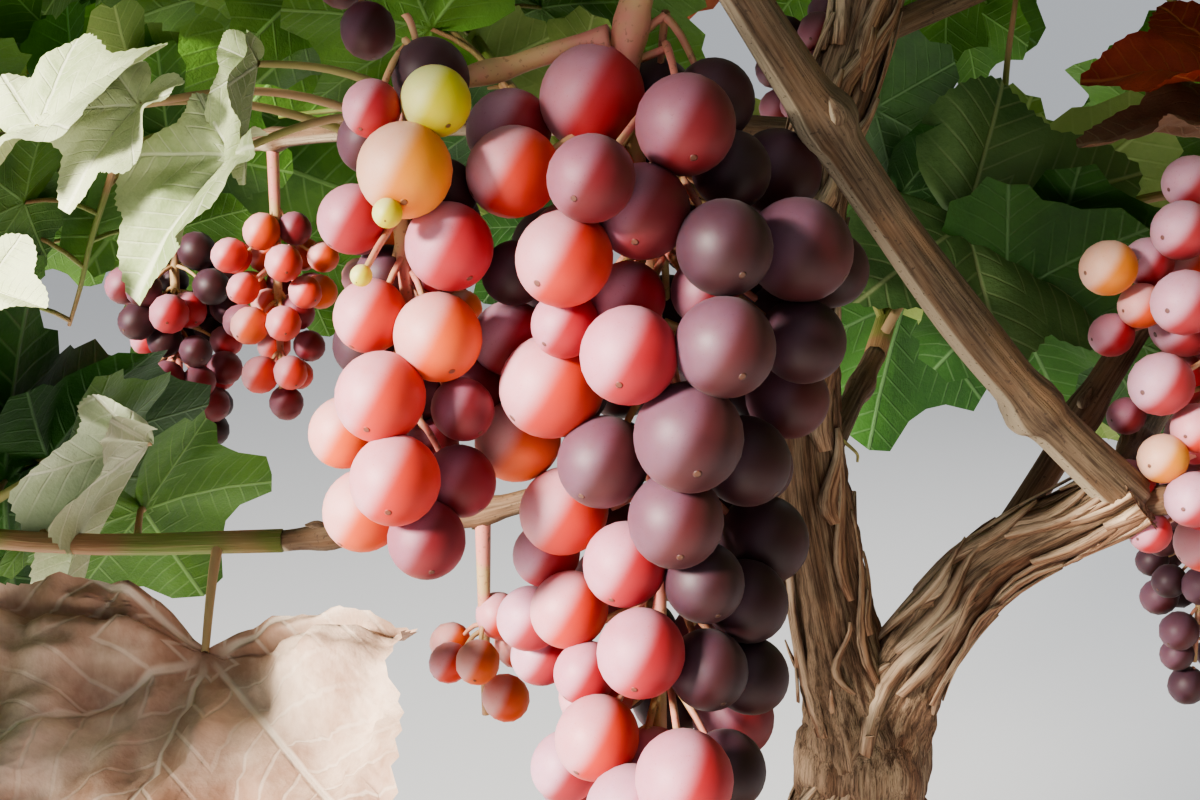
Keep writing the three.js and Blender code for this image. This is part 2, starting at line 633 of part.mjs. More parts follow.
// A shoot keeps to the part of space that lies nearer to its own middle than to any other shoot's
function inSpace(p, shoot) {
  const own = p.distanceTo(shoot.middle);
  return own < SHOOT.reach && p.z > POT.height + 12
    && shoots.every((other) => other === shoot || p.distanceTo(other.middle) > own + 3);
}

function fits(points, shoot) {
  return points.every((p) => inSpace(p, shoot) && !inWindow(p) && !inBunch(p, rooms) && !nearLimb(p, SHOOT.clear));
}

// The line of a stem or twig: it bends up or down as it goes, with a small zigzag at each node
function stemPoints(start, way, length, bend, random) {
  const points = [start.clone()];
  const heading = way.clone();
  for (let i = 0; i < 4; i++) {
    heading.addScaledVector(UP, bend / 4);
    const sway = new THREE.Vector3(random() - 0.5, random() - 0.5, random() - 0.5);
    heading.addScaledVector(sway, SHOOT.sway).normalize();
    points.push(points.at(-1).clone().addScaledVector(heading, length / 4));
  }
  return smooth(points);
}

// A leaf on a node: its stalk leans out to one side, and its blade faces up and outwards with its tip down
function drawLeaf(node, way, side, share, random) {
  const drawn = (name) => STANCE[name][0] + STANCE[name][1] * random();
  const across = new THREE.Vector3().crossVectors(way, UP).normalize().multiplyScalar(side);
  const stalk = across.multiplyScalar(drawn("across")).addScaledVector(way, drawn("onward"));
  stalk.addScaledVector(UP, drawn("rise")).normalize();
  const base = node.clone().addScaledVector(stalk, LEAF.stalk * mix(1, 0.6, share) * drawn("reach"));
  const outward = base.clone().sub(CROWN_AXIS).setZ(0).normalize();
  const face = outward.multiplyScalar(LEAF.faceOut).addScaledVector(UP, drawn("faceUp"));
  face.addScaledVector(new THREE.Vector3(random() - 0.5, random() - 0.5, 0), LEAF.faceSway).normalize();
  const tip = stalk.clone().addScaledVector(UP, -drawn("droop")).normalize();
  return { node, base, face, tip, length: mix(...LEAF.lengths, share) * drawn("size") };
}

// Two blades of a shoot stay apart if none of their test points come close
function apart(points, leaves) {
  return leaves.every((leaf) => leaf.points.every((a) => points.every((b) => a.distanceTo(b) > LEAF.apart)));
}

function addLeavesAlong(leaves, curve, length, shoot, random) {
  const count = Math.floor(length / SHOOT.nodeStep);
  for (let i = 1; i <= count; i++) {
    const share = i / count;
    const node = curve.getPointAt(share * SHOOT.lastNode);
    const way = curve.getTangentAt(share * SHOOT.lastNode);
    for (let attempt = 0; attempt < LEAF.tries; attempt++) {
      const leaf = drawLeaf(node, way, i % 2 ? 1 : -1, share * LEAF.endShare, random);
      const points = [...bladePoints(leaf), leaf.base];
      if (!throughNotch(leaf) || !fits(points, shoot) || !apart(points, leaves)) continue;
      leaves.push({ ...leaf, points });
      break;
    }
  }
}

// One shoot: a stem on from its cane's tip, two side twigs, and leaves at the nodes of all three
function shootSolid(shoot) {
  const random = seeded(shoot.seed);
  const stem = stemPoints(shoot.start, shoot.way, SHOOT.stemLength, shoot.bend, random);
  const leaves = [];
  addLeavesAlong(leaves, stem, SHOOT.stemLength, shoot, random);
  const parts = [tube(stem, taper(SHOOT.stemRadii), 5, 3)];
  for (const [share, side] of SHOOT.twigs) {
    const node = stem.getPointAt(share);
    const tangent = stem.getTangentAt(share);
    const across = new THREE.Vector3().crossVectors(tangent, UP).normalize().multiplyScalar(side);
    const way = across.addScaledVector(tangent, SHOOT.twigOnward).addScaledVector(UP, SHOOT.twigRise).normalize();
    const twig = stemPoints(node, way, SHOOT.twigLength, SHOOT.twigBend, random);
    const clear = twig.getPoints(12).every((p) => inSpace(p, shoot) && !inWindow(p) && !inBunch(p, rooms));
    if (!clear) continue;
    parts.push(tube(twig, taper(SHOOT.twigRadii), 3, 3));
    addLeavesAlong(leaves, twig, SHOOT.twigLength, shoot, random);
  }
  for (const known of KNOWN_LEAVES.filter(({ shoot: bearer }) => bearer === shoot.name)) {
    const [base, tip, face] = [vector(known.base), vector(known.tip).normalize(), vector(known.face).normalize()];
    leaves.push({ node: stem.getPointAt(known.at), base, tip, face, length: known.length, stalked: true });
  }
  for (const leaf of leaves) {
    parts.push(leafSolid(leaf));
    if (!leaf.stalked) continue;
    const hub = new THREE.Vector3(leaf.length * HUB, 0, 0).applyMatrix4(bladeAxes(leaf));
    parts.push(spike(leaf.node, hub, LEAF.stalkRadius));
  }
  return seated(wasm.Manifold.union(parts), shoot.name);
}

// Assembly

const vine = new THREE.Group();
vine.name = "potted_grapevine";
vine.add(meshOf("pot", potSolid(), CLAY));
vine.add(meshOf("soil", soilSolid(), EARTH));

addLimb("trunk", TRUNK.points.map(vector), trunkRadius, 14, 12);
vine.add(meshOf("trunk", limbSolid(limbs.trunk).trimByPlane([0, 0, 1], SOIL.top + GAP), BARK));

for (const [name, { points, radii }] of Object.entries(ARMS)) {
  addLimb(name, points.map(vector), taper(radii), 10, 8);
  vine.add(meshOf(name, limbCutClear(name), BARK));
}

for (const [name, { points, radii, seed }] of Object.entries(TRAINED_CANES)) {
  addLimb(name, points.map(vector), taper(radii), 8, 6, seed);
  vine.add(meshOf(name, limbCutClear(name), CANE));
}
for (const [name, cane] of Object.entries(CANES)) {
  addLimb(name, canePoints(cane), taper(cane.radii), 3, 5, cane.seed);
  vine.add(meshOf(name, limbCutClear(name), CANE));
}

const limbSpots = Object.values(limbs).flatMap(spotsAlong);
const rooms = bunchRooms();

vine.add(meshOf("front_bunch", frontBunchSolid(), FRUIT));
for (const [name, bunch] of Object.entries(BUNCHES)) {
  vine.add(meshOf(name, bunchSolid(bunch), FRUIT));
}

const shoots = Object.values(limbs).filter(({ name }) => name in TRAINED_CANES || name in CANES).map((limb) => {
  const way = limb.curve.getTangentAt(1);
  const start = limb.curve.getPointAt(1).addScaledVector(way, GAP);
  const middle = start.clone().addScaledVector(way, SHOOT.stemLength * 0.5);
  return { name: limb.name, start, way, middle, seed: limb.seed, bend: way.z > 0.3 ? -0.25 : 0.15 };
});
for (const shoot of shoots) {
  vine.add(meshOf(shoot.name.replace("_cane", "_shoot"), shootSolid(shoot), FOLIAGE));
}

export default vine;
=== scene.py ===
"""A potted grapevine in fruit: clay pot, soil, shredding old wood, canes, leafy shoots and bunches of grapes."""

import math

import bpy
import numpy as np
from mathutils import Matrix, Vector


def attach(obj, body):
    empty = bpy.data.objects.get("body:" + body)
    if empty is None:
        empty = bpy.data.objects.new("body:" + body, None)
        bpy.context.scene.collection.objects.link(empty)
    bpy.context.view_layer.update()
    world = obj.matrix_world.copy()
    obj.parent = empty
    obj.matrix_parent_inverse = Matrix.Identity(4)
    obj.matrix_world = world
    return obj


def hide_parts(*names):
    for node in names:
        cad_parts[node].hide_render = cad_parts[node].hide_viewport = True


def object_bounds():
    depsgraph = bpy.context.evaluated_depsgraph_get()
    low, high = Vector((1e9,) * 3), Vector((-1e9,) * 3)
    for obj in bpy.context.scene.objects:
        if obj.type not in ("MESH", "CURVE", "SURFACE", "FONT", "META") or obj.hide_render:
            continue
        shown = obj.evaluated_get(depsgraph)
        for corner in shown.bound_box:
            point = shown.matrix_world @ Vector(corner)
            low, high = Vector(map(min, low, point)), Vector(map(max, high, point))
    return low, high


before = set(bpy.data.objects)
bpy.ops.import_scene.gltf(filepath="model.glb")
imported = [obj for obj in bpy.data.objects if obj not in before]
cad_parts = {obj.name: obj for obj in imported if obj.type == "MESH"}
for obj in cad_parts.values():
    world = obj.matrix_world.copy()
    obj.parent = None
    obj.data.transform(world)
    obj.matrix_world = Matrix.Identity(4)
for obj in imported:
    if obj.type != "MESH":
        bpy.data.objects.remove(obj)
cad_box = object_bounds()


# View and light.
# The vine is looked at from close by, a little above its front bunch, and tilted down a little. A small warm lamp
# stands for the sun at the upper left in front, a broad cool one stands far behind, and the room is pale and even.

scene = bpy.context.scene
EYE, TILT = (-0.066, -0.355, 0.708), 10
FLOOR_RADIUS, FLOOR_SIDES, FLOOR_LEVEL = 30, 96, -0.0002

view = bpy.data.cameras.new("view")
view.lens = 45
view.sensor_width = 36
view.clip_start = 0.01
view_stand = bpy.data.objects.new("view", view)
view_stand.location = EYE
view_stand.rotation_euler = (math.radians(90 - TILT), 0, 0)
scene.collection.objects.link(view_stand)
scene.camera = view_stand


def hang_lamp(name, place, towards, size, power, colour):
    """A square lamp at a place, turned so that its face looks towards a point."""
    lamp = bpy.data.lights.new(name, "AREA")
    lamp.size = size
    lamp.energy = power
    lamp.color = colour
    stand = bpy.data.objects.new(name, lamp)
    away = np.subtract(place, towards)
    flat = math.hypot(away[0], away[1])
    stand.location = place
    stand.rotation_euler = (math.atan2(flat, away[2]), 0, math.atan2(away[0], -away[1]))
    scene.collection.objects.link(stand)


hang_lamp("key_lamp", (-1.34, -1.08, 1.26), (-0.06, -0.06, 0.66), 0.3, 112, (1, 0.93, 0.82))
hang_lamp("back_lamp", (1.5, 1.6, 2.4), (0, 0, 0.7), 1.6, 30, (0.93, 0.96, 1))

room = bpy.data.worlds.new("pale_room")
room.use_nodes = True
room_light = room.node_tree.nodes["Background"]
room_light.inputs["Color"].default_value = (0.86, 0.9, 0.96, 1)
room_light.inputs["Strength"].default_value = 0.5
scene.world = room
scene.view_settings.look = "AgX - Medium High Contrast"

floor_mesh = bpy.data.meshes.new("floor")
floor_turn = np.linspace(0, 2 * math.pi, FLOOR_SIDES, endpoint=False)
floor_flat = [FLOOR_RADIUS * np.cos(floor_turn), FLOOR_RADIUS * np.sin(floor_turn)]
floor_rim = np.stack([*floor_flat, np.full(FLOOR_SIDES, FLOOR_LEVEL)], 1)
floor_mesh.from_pydata(floor_rim.tolist(), [], [list(range(FLOOR_SIDES))])
floor = bpy.data.objects.new("floor", floor_mesh)
scene.collection.objects.link(floor)
floor_paint = bpy.data.materials.new("pale_floor")
floor_paint.use_nodes = True
floor_shader = floor_paint.node_tree.nodes["Principled BSDF"]
floor_shader.inputs["Base Color"].default_value = (0.88, 0.87, 0.85, 1)
floor_shader.inputs["Roughness"].default_value = 0.9
floor_mesh.materials.append(floor_paint)


# Pot.
# A plain unglazed clay pot, thrown on a wheel: a tapering wall with faint turning lines, a band at the rim,
# a flat foot, and pale lime bloom and damp stains that come through the clay.

MM = 0.001


class Net:
    """Points in millimetres, the faces between them, and each point's place in its own grain."""

    def __init__(self):
        self.points, self.faces, self.grain, self.count = [], [], [], 0

    def add(self, points, faces, grain=None):
        points = np.asarray(points, float).reshape(-1, 3)
        self.points.append(points)
        self.faces += [np.asarray(f) + self.count for f in faces]
        self.grain.append(points * 0 if grain is None else np.asarray(grain, float).reshape(-1, 3))
        self.count += len(points)


def woven(rows, columns):
    """Four-cornered faces of a tube of points: each joins a point to the next in its ring and to the two beyond
    them in the next ring."""
    row = np.arange(rows - 1)[:, None] * columns
    column = np.arange(columns)[None, :]
    onward = (column + 1) % columns
    corners = [row + column, row + onward, row + columns + onward, row + columns + column]
    return np.stack(corners, -1).reshape(-1, 4)


def closed_tube(rings):
    """Faces of a tube given as rings of points, with a fan over each end. Two middle points follow the rings."""
    rows, columns = rings.shape[:2]
    here = np.arange(columns)
    there = (here + 1) % columns
    first, last = rows * columns, rows * columns + 1
    start = np.stack([np.full(columns, first), there, here], 1)
    top = (rows - 1) * columns
    end = np.stack([np.full(columns, last), top + here, top + there], 1)
    points = np.vstack([rings.reshape(-1, 3), rings[0].mean(0), rings[-1].mean(0)])
    return points, [woven(rows, columns), start, end]


def add_piece(name, net, material, nodes=()):
    """One mesh piece from a net. It rides on the vine's only body."""
    points = np.concatenate(net.points) * MM
    mesh = bpy.data.meshes.new(name)
    corners = np.concatenate([f.ravel() for f in net.faces])
    sizes = np.concatenate([np.full(len(f), f.shape[1]) for f in net.faces])
    mesh.vertices.add(len(points))
    mesh.vertices.foreach_set("co", points.astype(np.float32).ravel())
    mesh.loops.add(len(corners))
    mesh.loops.foreach_set("vertex_index", corners.astype(np.int32))
    mesh.polygons.add(len(sizes))
    mesh.polygons.foreach_set("loop_start", (np.cumsum(sizes) - sizes).astype(np.int32))
    mesh.polygons.foreach_set("use_smooth", np.ones(len(sizes), bool))
    grain = mesh.attributes.new("grain", "FLOAT_VECTOR", "POINT")
    grain.data.foreach_set("vector", np.concatenate(net.grain).astype(np.float32).ravel())
    mesh.update(calc_edges=True)
    mesh.validate()
    mesh.materials.append(material)
    piece = bpy.data.objects.new(name, mesh)
    scene.collection.objects.link(piece)
    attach(piece, "root")
    if nodes:
        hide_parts(*nodes)
    return piece


class Wire:
    """A socket in a material. Arithmetic on it adds Math nodes, and node() adds any other node."""

    def __init__(self, tree, socket=None):
        self.tree, self.socket = tree, socket

    def node(self, kind, settings, sockets, out=0):
        made = self.tree.nodes.new(kind)
        for name, value in settings.items():
            setattr(made, name, value)
        for name, value in sockets.items():
            if isinstance(value, Wire):
                self.tree.links.new(value.socket, made.inputs[name])
            else:
                made.inputs[name].default_value = value
        return Wire(self.tree, made.outputs[out])

    def maths(self, operation, *values):
        return self.node("ShaderNodeMath", {"operation": operation}, dict(enumerate(values)))

    def __add__(self, other):
        return self.maths("ADD", self, other)

    def __radd__(self, other):
        return self.maths("ADD", other, self)

    def __sub__(self, other):
        return self.maths("SUBTRACT", self, other)

    def __rsub__(self, other):
        return self.maths("SUBTRACT", other, self)

    def __mul__(self, other):
        return self.maths("MULTIPLY", self, other)

    def __rmul__(self, other):
        return self.maths("MULTIPLY", other, self)

    def __gt__(self, other):
        return self.maths("GREATER_THAN", self, other)

    def __abs__(self):
        return self.maths("ABSOLUTE", self)

    def step(self, low, high):
        """0 under low and 1 over high, smooth between; the other way round where low is the larger."""
        settings = {"interpolation_type": "SMOOTHSTEP"}
        ends = (0, 1) if low < high else (1, 0)
        values = {0: self, 1: min(low, high), 2: max(low, high), 3: ends[0], 4: ends[1]}
        return self.node("ShaderNodeMapRange", settings, values)

    def noise(self, scale, detail, roughness=0.55, distortion=0):
        """Cloudy noise from 0 to 1 over the vector on this socket."""
        sockets = {"Vector": self, "Scale": scale, "Detail": detail}
        sockets.update({"Roughness": roughness, "Distortion": distortion})
        return self.node("ShaderNodeTexNoise", {}, sockets)

    def between(self, low, high):
        """The colour this share of the way from one to the other. Each is a wire or three numbers."""
        ends = [c if isinstance(c, Wire) else (*c, 1) for c in (low, high)]
        return self.node("ShaderNodeMix", {"data_type": "RGBA"}, {0: self, 6: ends[0], 7: ends[1]}, out=2)

    def stretched(self, scale):
        """The vector on this socket with each of its numbers scaled."""
        return self.node("ShaderNodeVectorMath", {"operation": "MULTIPLY"}, {0: self, 1: scale})


class Finish:
    """A material with one main shader, the wires that its patterns start from, and one way to set its sockets."""

    def __init__(self, name, **fixed):
        self.material = bpy.data.materials.new(name)
        self.material.use_nodes = True
        tree = self.material.node_tree
        self.shader = tree.nodes["Principled BSDF"]
        self.wire = Wire(tree)
        self.place = self.wire.node("ShaderNodeTexCoord", {}, {}, out=3)
        self.grain = self.wire.node("ShaderNodeAttribute", {"attribute_name": "grain"}, {}, out=1)
        for socket, value in fixed.items():
            self.shader.inputs[socket.replace("_", " ")].default_value = value

    def set(self, **sockets):
        for socket, wire in sockets.items():
            self.wire.tree.links.new(wire.socket, self.shader.inputs[socket.replace("_", " ")])

    def relief(self, height, depth):
        """A bump on the shader's normal from a height between 0 and 1 and a depth in metres."""
        self.set(Normal=self.wire.node("ShaderNodeBump", {}, {"Distance": depth, "Height": height}))

    def facing(self, way):
        """How far the surface looks along a way, from -1 to 1."""
        normal = self.wire.node("ShaderNodeTexCoord", {}, {}, out=1)
        return normal.node("ShaderNodeVectorMath", {"operation": "DOT_PRODUCT"}, {0: normal, 1: way}, out=1)

    def split(self, vector):
        """The three numbers of a vector, as wires."""
        return [vector.node("ShaderNodeSeparateXYZ", {}, {0: vector}, out=k) for k in range(3)]


POT_HEIGHT, POT_FOOT, POT_TOP, POT_RIM, POT_RIM_HEIGHT, POT_WALL, POT_FLOOR = 320, 130, 182, 198, 48, 14, 16
POT_SIDES, CORNER_STEPS, POT_PITCH = 144, 5, 3


def rounded(corners, radius):
    """A profile of straight stretches with each corner that has a radius turned as a quadratic curve."""
    line = [np.array(corners[0], float)]
    for before, here, after, r in zip(corners[:-2], corners[1:-1], corners[2:], radius):
        before, here, after = (np.array(p, float) for p in (before, here, after))
        into, out = here - before, after - here
        a = here - into / np.linalg.norm(into) * min(r, np.linalg.norm(into) * 0.45)
        b = here + out / np.linalg.norm(out) * min(r, np.linalg.norm(out) * 0.45)
        t = np.linspace(0, 1, CORNER_STEPS + 1)[:, None]
        line.extend((1 - t) ** 2 * a + 2 * t * (1 - t) * here + t**2 * b)
    line.append(np.array(corners[-1], float))
    return np.array(line)


def refined(line, pitch):
    """The same line with more points, no further apart than the pitch."""
    out = [line[:1]]
    for a, b in zip(line[:-1], line[1:]):
        count = max(1, int(np.linalg.norm(b - a) / pitch))
        out.append(a + (b - a) * (np.arange(1, count + 1) / count)[:, None])
    return np.vstack(out)


def turned_net(line, sides, swell=None):
    """A profile of [radius, height] carried once round the upright axis. swell(angle, radius, height) is added to
    the radius. The profile's ends lie near the axis and are closed by a fan."""
    angle = np.linspace(0, 2 * math.pi, sides, endpoint=False)[None, :]
    radius, height = line[:, :1] + 0 * angle, line[:, 1:] + 0 * angle
    if swell is not None:
        radius = radius + swell(angle, radius, height)
    rings = np.stack([radius * np.cos(angle), radius * np.sin(angle), height], -1)
    return closed_tube(rings)


pot_inside = POT_TOP - POT_WALL
pot_rim_foot = POT_HEIGHT - POT_RIM_HEIGHT
pot_corners = [
    (1, 0), (POT_FOOT - 5, 0), (POT_FOOT, 5), (POT_TOP - 8, pot_rim_foot), (POT_RIM - 3, pot_rim_foot),
    (POT_RIM, pot_rim_foot + 4), (POT_RIM, POT_HEIGHT - 6), (POT_RIM - 6, POT_HEIGHT), (pot_inside + 4, POT_HEIGHT),
    (pot_inside, POT_HEIGHT - 5), (POT_FOOT - POT_WALL, POT_FLOOR), (1, POT_FLOOR),
]
pot_line = refined(rounded(pot_corners, [1, 5, 5, 3, 3, 5, 5, 3, 4, 6]), POT_PITCH)


def throwing_marks(angle, radius, height):
    """Turning lines: a slow spiral of shallow ridges up the wall, and a slight sway of the whole wall."""
    wall = (radius > POT_FOOT * 0.9) * (height > 4)
    spiral = 0.22 * np.sin(height * 0.9 + angle) + 0.12 * np.sin(height * 2.3 + 2 * angle + 1)
    sway = 0.7 * np.sin(2 * angle + height * 0.01) + 0.4 * np.sin(3 * angle + 1)
    return wall * (spiral + sway)


pot_net = Net()
pot_net.add(*turned_net(pot_line, POT_SIDES, throwing_marks))

clay = Finish("fired_clay", Roughness=0.85)
clay_cloud = clay.place.noise(9, 5, 0.6)
clay_fine = clay.place.noise(240, 3, 0.6)
clay_lime = clay.place.stretched((1, 1, 0.35)).noise(16, 6, 0.7, 0.6)
clay_height = clay.split(clay.place)[2]
clay_rings = clay.place.stretched((0.4, 0.4, 26)).noise(6, 4)
clay_body = (clay_cloud * 0.7 + clay_fine * 0.3).between((0.30, 0.105, 0.045), (0.52, 0.225, 0.11))
clay_damp = clay_height.step(0.11, 0.0) * clay_cloud.step(0.3, 0.65)
clay_stained = (clay_damp * 0.7).between(clay_body, (0.10, 0.048, 0.028))
clay_bloom = clay_lime.step(0.56, 0.74) * (0.35 + clay_height.step(0.16, 0.3))
clay_tone = (clay_bloom * 0.62).between(clay_stained, (0.60, 0.53, 0.45))
clay.set(Base_Color=clay_tone, Roughness=0.78 + 0.18 * clay_lime)
clay.relief(clay_fine * 0.5 + clay_rings * 0.4 + clay_lime * 0.3, 0.0007)
add_piece("clay_pot", pot_net, clay.material, ["pot"])


# Soil.
# Dark potting earth that fills the pot to a thumb's breadth under the rim, heaped a little round the trunk,
# with crumbs, small stones and bits of bark on it.

SOIL_TOP, SOIL_DIP, SOIL_PATCH, GAP = 292, 7, 46, 0.3
SOIL_PITCH, SOIL_SIDES, CRUMBS, WAVES = 2.6, 200, 900, 9


def ripples(points, seed, size):
    """A smooth random height from -1 to 1: a sum of plane waves with directions and lengths drawn from the seed."""
    draw = np.random.default_rng(seed)
    total = 0
    for _ in range(WAVES):
        way = draw.normal(size=points.shape[-1])
        way *= 2 * math.pi / (np.linalg.norm(way) * size * draw.uniform(0.6, 1.7))
        total = total + np.sin(points @ way + draw.uniform(0, 6.3))
    return total / WAVES**0.5 / 1.5


soil_slope = (pot_inside - POT_FOOT + POT_WALL) / (POT_HEIGHT - 5 - POT_FLOOR)


def soil_wall(z):
    return POT_FOOT - POT_WALL + soil_slope * (z - POT_FLOOR) - 2 * GAP


soil_edge = SOIL_TOP - SOIL_DIP
soil_corners = [
    (1, POT_FLOOR + 1), (soil_wall(POT_FLOOR), POT_FLOOR + 1), (soil_wall(soil_edge), soil_edge),
    (SOIL_PATCH + 70, SOIL_TOP - 2), (SOIL_PATCH, SOIL_TOP), (1, SOIL_TOP),
]
soil_line = refined(np.array(soil_corners, float)[1:], SOIL_PITCH)
soil_points, soil_faces = turned_net(soil_line, SOIL_SIDES)
soil_flat = soil_points[:, :2]
soil_lumps = ripples(soil_flat, 3, 26) * 1.4
soil_lumps = soil_lumps + np.abs(ripples(soil_flat, 4, 9)) * 2.2 + np.abs(ripples(soil_flat, 5, 4)) * 1.3
soil_free = np.clip((soil_points[:, 2] - soil_edge + 1) / 2, 0, 1)
soil_points[:, 2] += (soil_lumps - 1.2) * soil_free
soil_net = Net()
soil_net.add(soil_points, soil_faces)


def ball(rows, columns):
    """A ball of radius 1: rings of points at equal angles from its lower to its upper pole."""
    rise = np.linspace(-math.pi / 2, math.pi / 2, rows + 2)[1:-1, None]
    turn = np.linspace(0, 2 * math.pi, columns, endpoint=False)[None, :]
    rings = np.stack([np.cos(rise) * np.cos(turn), np.cos(rise) * np.sin(turn), np.sin(rise) + 0 * turn], -1)
    points, faces = closed_tube(rings)
    points[-2:] = [[0, 0, -1], [0, 0, 1]]
    return points, faces


def add_copies(net, placed, faces, marks):
    """Many copies that share their faces, given as one array of points for each copy, with their grain."""
    shift = (np.arange(len(placed)) * placed.shape[1])[:, None, None]
    net.add(placed, [(f[None] + shift).reshape(-1, f.shape[1]) for f in faces], marks)


def scatter(net, shape, centres, sizes, turns):
    """Copies of one shape joined as arrays: each is scaled, turned by its own matrix and set on its own centre."""
    points, faces = shape
    placed = np.einsum("nij,pj->npi", turns * sizes[:, None, None], points) + centres[:, None, :]
    add_copies(net, placed, faces, np.broadcast_to(points, placed.shape))


def random_turns(draw, count):
    """Random turning matrices, from unit quaternions."""
    q = draw.normal(size=(count, 4))
    w, x, y, z = (q / np.linalg.norm(q, axis=1, keepdims=True)).T
    rows = [
        [1 - 2 * (y * y + z * z), 2 * (x * y - z * w), 2 * (x * z + y * w)],
        [2 * (x * y + z * w), 1 - 2 * (x * x + z * z), 2 * (y * z - x * w)],
        [2 * (x * z - y * w), 2 * (y * z + x * w), 1 - 2 * (x * x + y * y)],
    ]
    return np.array(rows).transpose(2, 0, 1)


soil_draw = np.random.default_rng(12)
crumb_radius = np.sqrt(soil_draw.uniform(32**2, (pot_inside - 12) ** 2, CRUMBS))
crumb_turn = soil_draw.uniform(0, 2 * math.pi, CRUMBS)
crumb_height = SOIL_TOP - 0.6 - SOIL_DIP * np.clip((crumb_radius - SOIL_PATCH) / (pot_inside - SOIL_PATCH), 0, 1)
crumb_centres = np.stack([crumb_radius * np.cos(crumb_turn), crumb_radius * np.sin(crumb_turn), crumb_height], 1)
crumb_sizes = soil_draw.uniform(1, 3.4, CRUMBS) * soil_draw.uniform(0.6, 1.1, CRUMBS)
crumb_points, crumb_faces = ball(4, 7)
crumb_points = crumb_points * (1, 0.8, 0.65) * (1 + 0.16 * ripples(crumb_points, 8, 1.4)[:, None])
scatter(soil_net, (crumb_points, crumb_faces), crumb_centres, crumb_sizes, random_turns(soil_draw, CRUMBS))

earth = Finish("potting_earth", Roughness=1.0)
earth_cloud = earth.place.noise(30, 5, 0.6)
earth_fine = earth.place.noise(420, 4, 0.7)
earth_body = (earth_cloud * 0.5 + earth_fine * 0.5).between((0.016, 0.010, 0.007), (0.105, 0.066, 0.042))
earth_fleck = earth.place.noise(700, 1).step(0.66, 0.72)
earth.set(Base_Color=(earth_fleck * 0.8).between(earth_body, (0.34, 0.27, 0.2)))
earth.relief(earth_fine, 0.0018)
add_piece("potting_soil", soil_net, earth.material, ["soil"])


# Trunk and arms.
# The old wood of the vine: a short leaning trunk that flares at the soil and swells into a head, and two arms.
# Its bark is brown and fibrous, splits lengthwise and peels off in long tan strips. Bark and strips are painted
# lighter on the side that faces the light, as painted light.

FORK_HEIGHT = 556
TRUNK_POINTS = [(3, 3, SOIL_TOP - 6), (9, 4, 380), (-3, -1, 470), (0, 0, FORK_HEIGHT)]
TRUNK_FOOT, TRUNK_FLARE, TRUNK_LOW, TRUNK_TOP = 26, 46, 17, 13.5
TRUNK_HEAD, HEAD_LENGTH, HEAD_DROP = 17.5, 26, 18
ARMS = {
    "left_arm": (
        [
            (0, 0, FORK_HEIGHT), (-9, 3, 595), (-17, 5, 644), (-13, 17, 697), (0, 29, 741), (8, 34, 800),
            (0, 30, 860),
        ],
        (10.5, 7),
    ),
    "right_arm": ([(0, 0, FORK_HEIGHT), (14, 1, 584), (32, 1, 605), (60, -13, 626)], (10, 7.6)),
}


def spline(points, t):
    """Points of a Catmull-Rom curve at raw shares t: cubic stretches with a tangent of half the chord round each
    point; before the first point and after the last the line goes on straight."""
    points = np.asarray(points, float)
    fenced = np.vstack([2 * points[0] - points[1], points, 2 * points[-1] - points[-2]])
    spot = np.clip(t, 0, 1) * (len(points) - 1)
    i = np.minimum(spot.astype(int), len(points) - 2)
    w = (spot - i)[:, None]
    p0, p1, p2, p3 = (fenced[i + k] for k in range(4))
    into, out = 0.5 * (p2 - p0), 0.5 * (p3 - p1)
    rest = (w**3 - 2 * w**2 + w) * into + (w**3 - w**2) * out
    return (2 * w**3 - 3 * w**2 + 1) * p1 + (3 * w**2 - 2 * w**3) * p2 + rest


class Line:
    """A curve through points, read by the share of its length."""

    def __init__(self, points):
        self.points = np.asarray(points, float)
        walk = spline(self.points, np.linspace(0, 1, 201))
        self.walked = np.concatenate([[0], np.cumsum(np.linalg.norm(np.diff(walk, axis=0), axis=1))])
        self.length = self.walked[-1]

    def raw(self, share):
        return np.interp(np.atleast_1d(share) * self.length, self.walked, np.linspace(0, 1, 201))

    def at(self, share):
        found = spline(self.points, self.raw(share))
        return found if np.ndim(share) else found[0]

    def way(self, share):
        raw = self.raw(share)
        ahead, behind = (spline(self.points, np.clip(raw + d, 0, 1)) for d in (1e-4, -1e-4))
        found = (ahead - behind) / np.linalg.norm(ahead - behind, axis=1, keepdims=True)
        return found if np.ndim(share) else found[0]


UP = np.array([0, 0, 1.0])


def unit(v):
    return v / np.maximum(np.linalg.norm(v, axis=-1, keepdims=True), 1e-12)


def off_to_a_side(way, turn):
    """A direction square to a way, by its angle round that."""
    side = unit(np.cross(way, UP))
    return side * math.cos(turn) + np.cross(side, way) * math.sin(turn)


def carried_frames(ways):
    """A side and an up direction at each step of a path, each turned on from the last with no twist."""
    first = np.cross(ways[0], (0, 0, 1) if abs(ways[0][2]) < 0.9 else (1, 0, 0))
    sides = [unit(first)]
    for way in ways[1:]:
        sides.append(unit(sides[-1] - way * (sides[-1] @ way)))
    sides = np.array(sides)
    return sides, np.cross(ways, sides)


